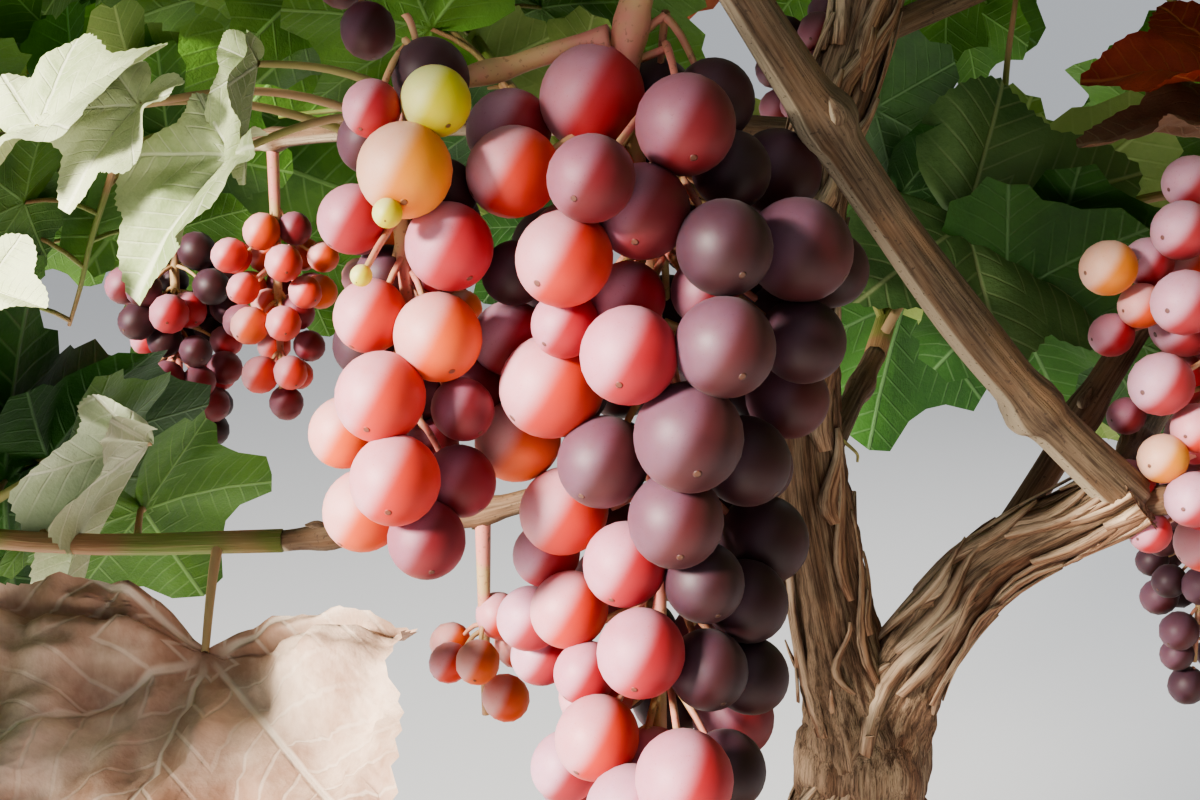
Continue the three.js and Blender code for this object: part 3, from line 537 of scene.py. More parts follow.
def limb(line, radius, shares, sides, relief=None):
    """A closed tube round a line: the radius rule at each share, plus relief(angle, distance along, radius).
    The grain of a point is its place round the limb and a tenth of its distance along it, in centimetres."""
    shares = np.asarray(shares, float)
    centre, ways = line.at(shares), line.way(shares)
    side, up = carried_frames(ways)
    angle = np.linspace(0, 2 * math.pi, sides, endpoint=False)[None, :]
    thick = np.array([radius(t) for t in shares])[:, None] + 0 * angle
    along = shares[:, None] * line.length + 0 * angle
    reach = thick if relief is None else thick + relief(angle + 0 * thick, along, thick)
    rings = centre[:, None] + reach[..., None] * (
        np.cos(angle)[..., None] * side[:, None] + np.sin(angle)[..., None] * up[:, None]
    )
    grain = np.stack([np.cos(angle) * thick / 10, np.sin(angle) * thick / 10, along / 100], -1).reshape(-1, 3)
    points, faces = closed_tube(rings)
    return points, faces, np.vstack([grain, grain[:1], grain[-1:]])


def trunk_radius(t):
    height = t * (FORK_HEIGHT - SOIL_TOP)
    flare = max(0, 1 - height / TRUNK_FLARE) ** 2
    head = max(0, 1 - abs(FORK_HEIGHT - SOIL_TOP - height - HEAD_DROP) / HEAD_LENGTH)
    plain = TRUNK_LOW + (TRUNK_TOP - TRUNK_LOW) * t
    return plain + (TRUNK_FOOT - TRUNK_LOW) * flare + (TRUNK_HEAD - TRUNK_TOP) * head


def taper(radii):
    return lambda t: radii[0] + (radii[1] - radii[0]) * t


def bark_relief(seed, depth):
    """Lengthwise plates and furrows: folded waves round the limb, which drift as they go along it."""
    draw = np.random.default_rng(seed)
    drawn = lambda: (draw.uniform(0, 6.3), draw.uniform(-0.012, 0.012), draw.uniform(0, 6.3))
    waves = [(n, *drawn()) for n in (3, 5, 8, 13, 21, 30)]

    def relief(angle, along, thick):
        total = 0
        for n, phase, drift, sway in waves:
            bend = 0.5 * np.sin(along * 0.045 + sway) + 0.35 * np.sin(along * 0.12 + 2 * sway)
            folded = 1 - 2 * np.abs(np.sin(0.5 * (n * angle + phase + n * drift * along + bend)))
            total = total + folded / n**0.45
        frayed = 0.25 * np.sin(along * 0.9 + 7 * angle) * np.sin(along * 0.31 + 3 * angle + seed)
        return depth * (0.75 * total + frayed) * np.clip(thick / 12, 0.4, 1.3)

    return relief


limbs = {"trunk": (Line(TRUNK_POINTS), trunk_radius)}
limbs.update({name: (Line(points), taper(radii)) for name, (points, radii) in ARMS.items()})

# the way that the painted light on the bark and on its peeling strips comes from
PAINTED_LIGHT_SIDE = (-0.72, -0.2, 0.66)
bark = Finish("old_vine_bark", Roughness=0.9)
bark_long = bark.grain.stretched((1, 1, 0.55))
bark_fibre = bark_long.noise(9, 6, 0.7, 0.4)
bark_patch = bark.grain.stretched((1, 1, 1.6)).noise(1.7, 3, 0.6, 0.3)
bark_hair = bark.grain.stretched((1, 1, 0.3)).noise(34, 3, 0.7)
bark_body = bark_fibre.step(0.3, 0.68).between((0.085, 0.038, 0.021), (0.44, 0.255, 0.155))
bark_worn = (bark_patch.step(0.5, 0.62) * bark_fibre.step(0.38, 0.6) * 0.8).between(bark_body, (0.56, 0.40, 0.26))
bark_red = bark_patch.step(0.46, 0.3) * 0.6
bark_tone = bark_red.between(bark_worn, (0.28, 0.095, 0.045))
# painted light: the side of the bark that faces the light is made paler, on its raised fibres
bark_painted_light = bark.facing(PAINTED_LIGHT_SIDE).step(0.2, 0.8) * bark_fibre.step(0.25, 0.55) * 0.75
bark_with_painted_light = bark_painted_light.between(bark_tone, (0.74, 0.52, 0.35))
bark.set(Base_Color=(bark_hair.step(0.52, 0.36) * 0.55).between(bark_with_painted_light, (0.03, 0.016, 0.01)))
bark.relief(bark_fibre * 0.7 + bark_hair * 0.3, 0.0022)

CROTCH_BLEND, ARM_SWELL, SWELL_REACH, STRIP_ROWS = 18, 4.5, 20, 9
TRUNK_ROWS, TRUNK_SIDES, ARM_SIDES = 220, 110, 80
ARM_ROWS = {"left_arm": 260, "right_arm": 90}


def drawn_in(t):
    """The trunk's radius, rounded off towards the fork so that the arms seem to grow out of it."""
    near = max(0, 1 - (1 - t) * limbs["trunk"][0].length / CROTCH_BLEND)
    return trunk_radius(t) * (1 - 0.3 * near**2)


def swelling(line, radius):
    """An arm's radius with a swelling where it leaves the fork."""
    return lambda t: radius(t) + ARM_SWELL * math.exp(-((t * line.length / SWELL_REACH) ** 2))


trunk_net = Net()
trunk_start = (SOIL_TOP - 4 - TRUNK_POINTS[0][2]) / (FORK_HEIGHT - TRUNK_POINTS[0][2])
trunk_shares = np.linspace(trunk_start, 1, TRUNK_ROWS)
trunk_net.add(*limb(limbs["trunk"][0], drawn_in, trunk_shares, TRUNK_SIDES, bark_relief(1, 1.5)))
# the rounded crotch under the two arms
crotch, crotch_faces = ball(44, TRUNK_SIDES)
crotch_long = crotch * (1, 1, 0.3)
crotch_rough = 1 + 0.05 * ripples(crotch_long, 15, 0.5) + 0.035 * ripples(crotch_long, 16, 0.2)
crotch = crotch * crotch_rough[:, None] * (17, 15.5, 17) + (0, 0, FORK_HEIGHT - 3)
trunk_net.add(crotch, crotch_faces, crotch * (0.1, 0.1, 0.01))
add_piece("trunk_bark", trunk_net, bark.material, ["trunk"])

arms_net = Net()
for number, (name, rows) in enumerate(ARM_ROWS.items()):
    line, radius = limbs[name]
    relief = bark_relief(5 + number, 1.3)
    arms_net.add(*limb(line, swelling(line, radius), np.linspace(0, 1, rows), ARM_SIDES, relief))
add_piece("arm_bark", arms_net, bark.material, list(ARMS))


def strip(line, radius, share, length, angle, width, lift, curl, draw):
    """A bark strip: a flat tube of four sides that lies along a limb and stands off it more and more to its free
    end. Its edges taper to a torn point, and it sways sideways as it goes."""
    run = np.linspace(0, 1, STRIP_ROWS)
    shares = np.clip(share + run * length / line.length, 0, 1)
    centre, ways = line.at(shares), line.way(shares)
    side, up = carried_frames(ways)
    turn = (angle + curl * run + 0.25 * np.sin(run * 5 + angle))[:, None]
    out = side * np.cos(turn) + up * np.sin(turn)
    across = np.cross(ways, out)
    stand = np.array([radius(t) for t in shares]) + 0.4 + lift * run**3
    wide = width * (1 - 0.7 * run**3) * (0.3 + 0.7 * np.sin(np.pi * np.clip(run * 1.6 + 0.12, 0, 0.5)))
    middle = centre + out * stand[:, None]
    hug = out * (wide**2 / (8 * stand))[:, None]
    thick = 0.25 + 0.3 * draw.uniform()
    rings = np.stack([
        middle + across * wide[:, None] / 2 - hug,
        middle + out * thick,
        middle - across * wide[:, None] / 2 - hug,
        middle - out * thick,
    ], 1)
    points, faces = closed_tube(rings)
    flat = np.stack([wide / 20, 0 * wide, -wide / 20, 0 * wide], 1)
    grain = np.stack([flat + angle, flat * 0, flat * 0 + (run * length / 100)[:, None]], -1).reshape(-1, 3)
    return points, faces, np.vstack([grain, grain[:1], grain[-1:]])


# limb, its strips, and how far the loosest one stands off
STRIPS = [("trunk", 110, 3.6), ("left_arm", 80, 3.0), ("right_arm", 50, 3.0)]
SPLINTERS = 30
shred_draw = np.random.default_rng(77)
shreds = Net()
for name, count, reach in STRIPS:
    line, radius = limbs[name]
    radius = drawn_in if name == "trunk" else swelling(line, radius)
    for _ in range(count):
        share = shred_draw.uniform(0.1 if name == "trunk" else -0.02, 0.94)
        size = shred_draw.uniform(18, 70) * (1.2 if name == "trunk" else 0.8)
        lift = reach * shred_draw.uniform(0, 1) ** 3
        width = shred_draw.uniform(2.4, 8.0)
        turn, curl = shred_draw.uniform(0, 6.3), shred_draw.normal() * 0.18
        shreds.add(*strip(line, radius, max(share, 0.03), size, turn, width, lift, curl, shred_draw))
# splinters where the two arms part
fork = np.array([0, 0, FORK_HEIGHT + 6])
for _ in range(SPLINTERS):
    foot = fork + shred_draw.normal(size=3) * (7, 6, 6)
    tip = foot + unit(shred_draw.normal(size=3) * (0.8, 0.7, 0.35) + (0.1, -0.25, 0.75)) * shred_draw.uniform(6, 17)
    stub = Line([foot, (foot + tip) / 2 + shred_draw.normal(size=3) * 0.7, tip])
    shreds.add(*limb(stub, taper((1.15, 0.2)), np.linspace(0, 1, 5), 5))

peel = Finish("peeling_bark", Roughness=0.85)
peel_fibre = peel.grain.stretched((1, 1, 0.6)).noise(12, 4, 0.7)
peel_patch = peel.place.noise(42, 2)
peel_body = peel_fibre.step(0.32, 0.66).between((0.120, 0.046, 0.024), (0.50, 0.285, 0.170))
# painted light: the strips' own random pale patches, plus more pale on the side that faces the light
peel_pale_and_painted_light = peel_patch.step(0.5, 0.66) * 0.5 + peel.facing(PAINTED_LIGHT_SIDE).step(0.1, 0.75) * 0.7
peel.set(Base_Color=(peel_pale_and_painted_light * peel_fibre.step(0.3, 0.55)).between(peel_body, (0.84, 0.64, 0.45)))
peel.relief(peel_fibre, 0.0008)
add_piece("bark_strips", shreds, peel.material)


# Canes.
# Woody shoots that grow from the arms: grey-brown and ridged, swollen at each node, with a bud on alternate sides.
# Three follow known lines; the rest spring from their limb at a compass angle, run out, and sag by the square.

TRAINED_CANES = {
    "front_cane": (
        [(58, -12, 624), (28, -24, 652), (-4, -38, 689), (-38, -56, 734), (-84, -70, 800), (-128, -80, 868)],
        (5.6, 3.2), 539,
    ),
    "right_cane": ([(30, 3, 604), (60, 24, 641), (88, 22, 692), (108, 8, 742), (145, -10, 808)], (4, 2.7), 528),
    "left_cane": ([(-17, 5, 642), (-75, 22, 618), (-112, 30, 607), (-150, 31, 602)], (3.2, 2.9), 533),
}
# parent limb, share along it, compass angle, rise, length, sag, radius at the foot, seed of its shoot
CANES = {
    "low_back_left_cane": ("left_arm", 0.5, 140, 4, 290, 0.1, 4.2, 512),
    "low_back_right_cane": ("right_arm", 0.9, 62, 8, 270, 0.08, 4.2, 513),
    "middle_back_cane": ("left_arm", 0.22, 66, 22, 68, 0.02, 3.6, 540),
    "low_right_cane": ("right_arm", 0.9, -8, 12, 165, 0.06, 3.6, 508),
    "low_front_cane": ("low_right_cane", 0.3, -62, 10, 84, 0.04, 3.3, 514),
    "inner_back_left_cane": ("left_arm", 0.4, 122, 14, 62, 0.02, 3.6, 523),
    "inner_right_cane": ("left_arm", 0.58, 22, 22, 66, 0.02, 3.6, 511),
    "inner_back_cane": ("left_arm", 0.72, 100, 40, 60, 0.02, 3.6, 514),
    "back_cane": ("left_arm", 0.64, 84, 16, 225, 0.06, 4.2, 504),
    "left_cane_above": ("left_arm", 0.76, 186, 34, 195, 0.06, 4.2, 511),
    "front_left_cane": ("front_cane", 0.84, 202, 8, 84, 0.05, 3.3, 513),
    "outer_right_cane": ("right_cane", 0.74, 12, 14, 76, 0.05, 3.1, 516),
    "high_back_left_cane": ("left_arm", 0.86, 122, 34, 210, 0.06, 4.2, 500),
    "high_left_cane": ("left_arm", 0.82, 158, 50, 64, 0.02, 3.6, 535),
    "high_back_right_cane": ("left_arm", 0.95, 44, 38, 190, 0.05, 4.2, 519),
    "high_right_cane": ("left_arm", 0.9, -38, 40, 200, 0.05, 4.2, 511),
    "high_front_cane": ("left_arm", 0.97, 246, 52, 150, 0.04, 4, 510),
    "top_cane": ("left_arm", 1, 60, 84, 120, 0, 5, 501),
}
CANE_TIP, NODE_PITCH = 2.9, 60
# distance between a cane's rings, and its sides, for the one in front and for the rest
CLOSE_CANE, FAR_CANE = (1.1, 36), (2.4, 16)

shoot_seeds = {}
for name, (points, radii, seed) in TRAINED_CANES.items():
    limbs[name] = (Line(points), taper(radii))
    shoot_seeds[name] = seed
for name, (parent, share, turn, rise, length, sag, foot, seed) in CANES.items():
    start = limbs[parent][0].at(share)
    a, e = math.radians(turn), math.radians(rise)
    along = np.array([math.cos(a) * math.cos(e), math.sin(a) * math.cos(e), math.sin(e)])
    cane = [start + along * length * t - np.array([0, 0, sag * length * t * t]) for t in (0, 0.33, 0.67, 1)]
    limbs[name] = (Line(cane), taper((foot, CANE_TIP)))
    shoot_seeds[name] = seed

CANE_NODES = {
    "front_cane": [0.12, 0.39, 0.63, 0.86], "right_cane": [0.2, 0.45, 0.7, 0.93], "left_cane": [0.3, 0.62, 0.92],
}


def cane_nodes(name):
    """Where a cane's nodes lie, as shares of its length: known ones, or others at an even pitch."""
    if name in CANE_NODES:
        return CANE_NODES[name]
    count = max(1, round(limbs[name][0].length / NODE_PITCH))
    return [(k + 0.75) / count for k in range(count)]


def cane_relief(nodes, length, seed):
    """Fine ridges along the cane, and a swelling with a ledge at each node."""

    def relief(angle, along, thick):
        ridges = 0.05 * np.sin(9 * angle + seed) + 0.035 * np.sin(17 * angle + 0.04 * along)
        swell = 0
        for k, node in enumerate(nodes):
            off = along - node * length
            lean = 0.5 + 0.5 * np.cos(angle - k * math.pi - seed)
            swell = swell + np.exp(-(off / 4.5) ** 2) * (0.2 + 0.24 * lean) + 0.07 * np.exp(-((off + 3) / 1.1) ** 2)
        return thick * (ridges + swell + 0.05 * np.sin(along * 0.1 + seed))

    return relief


def cane_net(names):
    """All the canes, each with a bud at every node: a short pointed limb that leans towards the cane's tip."""
    net = Net()
    for number, name in enumerate(names):
        line, radius = limbs[name]
        pitch, sides = CLOSE_CANE if name == "front_cane" else FAR_CANE
        shares = np.linspace(0, 1, int(line.length / pitch) + 6)
        relief = cane_relief(cane_nodes(name), line.length, number + 1.3)
        points, faces, grain = limb(line, radius, shares, sides, relief)
        net.add(points, faces, grain + np.array([0, 0, number * 0.37]))
        for k, share in enumerate(cane_nodes(name)):
            spot, way = line.at(share), line.way(share)
            out = off_to_a_side(way, k * math.pi + number)
            thick = float(radius(share))
            foot = spot + out * thick * 0.8
            middle, tip = out * thick * 0.55 + way * 1.6, out * thick * 0.7 + way * (thick * 0.5 + 3.4)
            bulge = lambda t, size=thick * 0.42: size * math.sin(math.pi * (0.35 + 0.62 * t)) + 0.1
            net.add(*limb(Line([foot, foot + middle, foot + tip]), bulge, np.linspace(0, 1, 8), 10))
    return net


cane_paint = Finish("ripened_cane", Roughness=0.72)
cane_streak = cane_paint.grain.stretched((1, 1, 0.45)).noise(14, 5, 0.65)
cane_cloud = cane_paint.grain.stretched((1, 1, 2.2)).noise(1.6, 3, 0.6)
cane_speck = cane_paint.place.noise(900, 2).step(0.63, 0.7)
cane_body = cane_streak.step(0.32, 0.68).between((0.070, 0.038, 0.020), (0.25, 0.170, 0.108))
cane_tone = (cane_cloud.step(0.42, 0.66) * 0.7).between(cane_body, (0.235, 0.125, 0.065))
# painted highlight: a pale lit edge along the side of each cane that faces left and down
cane_with_painted_lit_edge = cane_paint.facing((-0.8, -0.1, -0.59)).step(0.62, 0.9).between(cane_tone, (0.56, 0.46, 0.33))
cane_paint.set(Base_Color=(cane_speck * 0.7).between(cane_with_painted_lit_edge, (0.07, 0.042, 0.028)))
cane_paint.relief(cane_streak, 0.0006)
cane_names = [name for name in limbs if name.endswith("cane") or name == "left_cane_above"]
add_piece("canes_with_buds", cane_net(cane_names), cane_paint.material, cane_names)


# Front bunch.
# A ripening bunch of rose grapes on a thick pinkish stalk, with a shoulder bunch on a wing of it. Each grape is a
# thin-skinned ball, painted pale on the side that faces the light as painted light, held by a short stalk, and has
# a brown scar where its flower was.

# how near two berries may come: a share of their two radii when placed, of their two diameters when filled in
BERRY_PRESS, NEAREST_BERRY, SETTLING_ROUNDS = 0.93, 0.43, 40
# distances down and round a bunch from one filled-in berry to the next, as shares of a berry
ROW_PITCH, RING_PITCH = 0.84, 0.98
FRONT_JOINT, FRONT_NECK = (-51, -58, 752), (-61, -49, 722)
BODY_SHIFT, BODY_LENGTH, BODY_RADIUS, BODY_BERRY = 8, 186, 38, 17.5
BODY_PROFILE = [(0, 0.5), (0.1, 0.95), (0.3, 1), (0.42, 0.78), (0.82, 0.76), (1, 0.3)]
WING_JOINT, WING_BEND, WING_SHIFT, WING_TOP, WING_FORWARD = (-64, -50, 727), (-83, -45, 722), -43, 4, 6
WING_LENGTH, WING_RADIUS, WING_BERRY, WING_SPLIT = 86, 21, 15, -30
WING_PROFILE = [(0, 0.6), (0.2, 0.9), (0.8, 1), (1, 0.5)]

# tint, across and down from the neck, diameter, how far one stands out over its neighbours
FRONT_BERRIES = [
    ("rose", -6.6, 6.4, 20.8, 0), ("coral", -22, 21, 18, 5), ("pink", -23.6, 13, 17, 0),
    ("wine", -6.6, 21.6, 16, 6), ("wine", 11, 12, 19, 0), ("coral", -11.6, 36.4, 18, 5),
    ("purple", -22, 41, 13, 0), ("wine", 3, 28, 18, 0), ("purple", 18, 34.4, 18, 2), ("plum", 34, 36, 20.5, 4),
    ("purple", 42, 41, 16, 0), ("plum", 18, 52.4, 18.8, 2), ("purple", 35, 54, 17, 0),
    ("rose", -11.6, 49.4, 13, 0), ("pink", -23.6, 55, 15.5, 0), ("rose", 0.4, 54, 18.4, 4),
    ("coral", -14.4, 62.6, 20.6, 6), ("plum", 11.6, 69.6, 20.8, 6), ("orange", -22, 76, 17.4, 2),
    ("plum", -4.4, 77, 18, 0), ("purple", 24, 78, 18, 0), ("coral", -12.4, 90, 18, 2),
    ("plum", 9.6, 87, 18.6, 4), ("rose", 0, 98, 16.8, 4), ("purple", 15.6, 101, 16, 0),
    ("pink", -16.4, 101.6, 14, 0), ("coral", -11.4, 111, 16, 3), ("rose", 3, 113.6, 17.4, 6),
    ("pink", -20, 116, 14, 0), ("rose", -8, 123, 13, 1), ("purple", 16.6, 119, 16, 0),
    ("purple", 25, 108, 17, 0), ("pink", -17.8, 126.6, 13.5, 0), ("coral", -5.6, 133.6, 17, 2),
    ("rose", 11, 134.4, 18.8, 6), ("purple", 26, 124, 16, 0), ("purple", 21, 142, 16, 0),
    ("pink", -12, 145, 15, 0), ("pink", 1, 145, 18, 2),
]
WING_BERRIES = [
    ("rose", -48, 9, 11, 0), ("lime", -36, 7.6, 13.4, 2), ("amber", -41.6, 20.4, 18, 4),
    ("rose", -34, 35, 17, 2), ("coral", -50, 48.8, 14.4, 0), ("orange", -36.4, 52.4, 17.2, 3),
    ("coral", -47, 63.2, 17.4, 3), ("orange", -56.4, 73, 14.6, 0), ("coral", -44, 78.6, 17.4, 5),
    ("orange", -52, 87.6, 16.4, 2), ("wine", -39, 92, 15.4, 0), ("wine", -32, 67, 12.4, 0),
    ("wine", -33, 82, 14.4, 0), ("lime", -50, 40, 4.2, 0), ("lime", -44, 28, 5.6, -1),
]
# each tint's deep and light colour, and the pale bloom colour painted on its lit side as painted light
BERRY_TINTS = {
    "rose": ((0.36, 0.007, 0.011), (0.46, 0.020, 0.024), (0.64, 0.34, 0.45)),
    "coral": ((0.50, 0.020, 0.005), (0.60, 0.044, 0.012), (0.68, 0.39, 0.47)),
    "orange": ((0.60, 0.062, 0.005), (0.70, 0.110, 0.012), (0.70, 0.43, 0.45)),
    "amber": ((0.64, 0.180, 0.009), (0.74, 0.290, 0.022), (0.76, 0.50, 0.43)),
    "lime": ((0.56, 0.500, 0.018), (0.66, 0.620, 0.050), (0.72, 0.74, 0.36)),
    "pink": ((0.32, 0.011, 0.016), (0.42, 0.030, 0.036), (0.65, 0.41, 0.54)),
    "wine": ((0.12, 0.003, 0.005), (0.20, 0.007, 0.010), (0.36, 0.16, 0.23)),
    # the plum and purple tints are the grapes' own dark colour made darker still, as painted shade
    "plum": ((0.050, 0.005, 0.007), (0.088, 0.011, 0.012), (0.175, 0.085, 0.130)),
    "purple": ((0.026, 0.003, 0.004), (0.046, 0.006, 0.008), (0.080, 0.034, 0.055)),
}
# the way that the painted light on the grapes comes from
PAINTED_SUN_SIDE = (-0.86, -0.04, 0.51)


def seeded(seed):
    """A repeatable stream of numbers from 0 to 1: the state is multiplied and shifted, and cut to 32 bits."""
    state = (seed * 2654435761) % 2**32

    def draw():
        nonlocal state
        state = (state * 1664525 + 1013904223) % 2**32
        return state / 2**32

    return draw


def graph(pairs, share):
    return np.interp(share, [s for s, _ in pairs], [v for _, v in pairs])


def settled(berries):
    """Berries moved apart along their depth only, until each pair is nearly its two radii apart."""
    for _ in range(SETTLING_ROUNDS):
        for i, a in enumerate(berries):
            for b in berries[:i]:
                dx, dy, dz = a["x"] - b["x"], a["y"] - b["y"], a["z"] - b["z"]
                wanted, flat = (a["size"] + b["size"]) / 2 * BERRY_PRESS, dx * dx + dz * dz
                if flat + dy * dy < wanted * wanted:
                    push = (math.sqrt(wanted * wanted - flat) - abs(dy)) * (-0.25 if dy < 0 else 0.25)
                    a["y"] += push
                    b["y"] -= push
    return berries


def fill_rings(berries, x, y, top, length, radius, berry, profile, seed, tint_of):
    """Rings of berries down a body, each ring turned half a step from the last, save where one is there already."""
    draw, pitch, row = seeded(seed), berry * ROW_PITCH, 0
    while row * pitch <= length:
        ring = max(0, graph(profile, row * pitch / length) * radius - berry / 2)
        count = max(1, math.floor(2 * math.pi * ring / (berry * RING_PITCH) + 0.5))
        for k in range(count):
            angle = 2 * math.pi * (k + (row % 2) / 2 + (draw() - 0.5) * 0.35) / count
            reach = ring * (0.94 + 0.12 * draw())
            one = {"x": x + math.cos(angle) * reach, "y": y + math.sin(angle) * reach}
            one["z"] = top - row * pitch - (draw() - 0.5) * berry * 0.3
            one["size"] = berry * (0.86 + 0.24 * draw())
            spot = [one[c] for c in "xyz"]
            gaps = [math.dist([b[c] for c in "xyz"], spot) / (b["size"] + one["size"]) for b in berries]
            if min(gaps, default=1) >= NEAREST_BERRY:
                berries.append({**one, "tint": tint_of(math.cos(angle), math.sin(angle), row * pitch / length)})
        row += 1
    return berries


def front_tint(across, back, down):
    """Purple, plum and wine on the right and rear of the front bunch, as their own colour and as painted shade;
    rose to orange on the left.
    """
    if across > 0.1 or back > 0.4:
        return ("purple", "plum", "wine")[int(abs(across * 7 + down * 11)) % 3]
    return ("coral", "rose", "pink", "orange")[int(abs(back * 9 + down * 13)) % 4]


def placed_berry(origin, tint, across, forward, down, size):
    x, y, z = origin
    return {"x": x + across, "y": y - forward, "z": z - down, "size": size, "tint": tint}


neck_x, neck_y, neck_z = FRONT_NECK
front_berries = []
for tint, across, down, size, lift in FRONT_BERRIES:
    ring = graph(BODY_PROFILE, down / BODY_LENGTH) * BODY_RADIUS - size / 2
    forward = math.sqrt(max(0, ring**2 - (across - BODY_SHIFT) ** 2)) + lift
    front_berries.append(placed_berry(FRONT_NECK, tint, across, forward, down, size))
for tint, across, down, size, lift in WING_BERRIES:
    forward = WING_FORWARD + math.sqrt(max(0, (WING_RADIUS - size / 2) ** 2 - (across - WING_SHIFT) ** 2)) + lift
    front_berries.append(placed_berry(FRONT_NECK, tint, across, forward, down, size))
settled(front_berries)
body_place = (neck_x + BODY_SHIFT, neck_y, neck_z - 8, BODY_LENGTH - 8)
wing_place = (neck_x + WING_SHIFT, neck_y - WING_FORWARD, neck_z - WING_TOP, WING_LENGTH)
fill_rings(front_berries, *body_place, BODY_RADIUS, BODY_BERRY, BODY_PROFILE, 11, front_tint)
fill_rings(front_berries, *wing_place, WING_RADIUS, WING_BERRY, WING_PROFILE, 12, front_tint)
# a second layer inside the first closes the gaps
INNER_LAYER, INNER_BERRY = 0.72, 0.84
inner_body = (BODY_RADIUS * INNER_LAYER, BODY_BERRY * INNER_BERRY, BODY_PROFILE)
inner_wing = (WING_RADIUS * INNER_LAYER, WING_BERRY * INNER_BERRY, WING_PROFILE)
fill_rings(front_berries, *body_place, *inner_body, 51, front_tint)
fill_rings(front_berries, *wing_place, *inner_wing, 52, front_tint)


def turned_to(ways):
    """Turning matrices that carry the upright onto each way."""
    side = unit(np.cross(ways, (0.31, 0.2, 0.93)))
    return np.stack([side, np.cross(side, ways) * -1, ways], -1)


def thin_tubes(net, starts, ends, bow, radii, sides=5, rows=5):
    """Many thin tubes at once. Each goes from its start to its end, bowed by a half sine along a given vector, and
    tapers from the first radius to the second."""
    starts, ends, bow = (np.asarray(v, float) for v in (starts, ends, bow))
    run = np.linspace(0, 1, rows)[None, :, None]
    centre = starts[:, None] + (ends - starts)[:, None] * run + np.sin(np.pi * run) * bow[:, None]
    way = unit(ends - starts)
    side = unit(np.cross(way, (0.21, 0.13, 0.97)))
    up = np.cross(way, side)
    turn = np.linspace(0, 2 * math.pi, sides, endpoint=False)[None, None, :, None]
    thick = (radii[0] + (radii[1] - radii[0]) * run)[..., None]
    rings = centre[:, :, None] + thick * (np.cos(turn) * side[:, None, None] + np.sin(turn) * up[:, None, None])
    placed = rings.reshape(len(starts), rows * sides, 3)
    add_copies(net, placed, [woven(rows, sides)], placed / 10)


def berry_arrays(berries, x, y, rise):
    """Berries' centres and sizes, and where the stalk of each leaves the bunch's own stem, a little higher up."""
    centres = np.array([[b["x"], b["y"], b["z"]] for b in berries])
    stem = np.stack([np.full(len(berries), x), np.full(len(berries), y), centres[:, 2] + rise], 1)
    return centres, np.array([b["size"] for b in berries]), stem


def berry_stalks(net, berries, x, y, rise, radii):
    """A short stalk from the bunch's own stem to the top of each berry."""
    centres, sizes, stem = berry_arrays(berries, x, y, rise)
    ends = centres + unit(stem - centres) * sizes[:, None] * 0.46
    thin_tubes(net, stem, ends, np.zeros_like(stem) + (0, 0, 1.2), radii)


def berry_pieces(name, bunches, rows, columns, nodes):
    """One piece for each tint of all the berries of some bunches. A berry's scar end points away from its stem."""
    shape, faces = ball(rows, columns)
    nodes = list(nodes)
    for tint in BERRY_TINTS:
        net = Net()
        for berries, x, y, rise in bunches:
            own = [b for b in berries if b["tint"] == tint]
            if own:
                centres, sizes, stem = berry_arrays(own, x, y, rise)
                scatter(net, (shape * (1, 1, 1.04), faces), centres, sizes / 2, turned_to(unit(stem - centres)))
        if net.count:
            add_piece(name + "_" + tint, net, berry_skins[tint].material, nodes)
            nodes = []


berry_skins = {}
for tint, (deep, light, painted_lit_bloom) in BERRY_TINTS.items():
    skin = Finish("grape_skin_" + tint, Subsurface_Weight=0.3, Subsurface_Scale=0.005, Sheen_Weight=0.06)
    skin.shader.inputs["Subsurface Radius"].default_value = (1.0, 0.25, 0.12)
    skin_x, skin_y, skin_z = skin.split(skin.grain)
    skin_cloud = skin.place.noise(62, 2, 0.45)
    skin_rub = skin.place.noise(150, 3, 0.6, 0.4)
    skin_speck = skin.place.noise(2600, 1).step(0.66, 0.74)
    skin_flesh = skin_cloud.step(0.3, 0.7).between(deep, light)
    # painted light: each grape turns pale on its side towards the light; the rubbed noise and a little bloom all
    # round are its own
    skin_painted_sun_side = skin.facing(PAINTED_SUN_SIDE).step(-0.05, 0.42)
    skin_bloom_and_painted_light = (0.03 + 0.84 * skin_painted_sun_side) * (0.66 + 0.4 * skin_rub)
    skin_tone = skin_bloom_and_painted_light.between(skin_flesh, painted_lit_bloom)
    skin_dotted = (skin_speck * 0.22).between(skin_tone, deep)
    skin_scar = (skin_x * skin_x + skin_y * skin_y).step(0.008, 0.003) * (0 - skin_z).step(0.4, 0.6)
    skin_marked = (skin_scar * 0.85).between(skin_dotted, (0.13, 0.055, 0.03))
    skin.set(Base_Color=skin_marked, Roughness=0.42 + 0.22 * skin_rub)
    skin.relief(skin_rub * 0.3 + skin_scar, 0.0003)
    berry_skins[tint] = skin

bunch_stalk = Finish("bunch_stalk", Roughness=0.6, Subsurface_Weight=0.15, Subsurface_Scale=0.002)
stalk_cloud = bunch_stalk.place.noise(70, 3)
stalk_fleck = bunch_stalk.place.noise(900, 2).step(0.6, 0.7)
stalk_body = stalk_cloud.step(0.4, 0.62).between((0.50, 0.34, 0.17), (0.62, 0.24, 0.20))
bunch_stalk.set(Base_Color=(stalk_fleck * 0.5).between(stalk_body, (0.22, 0.11, 0.06)))
bunch_stalk.relief(stalk_cloud, 0.0004)

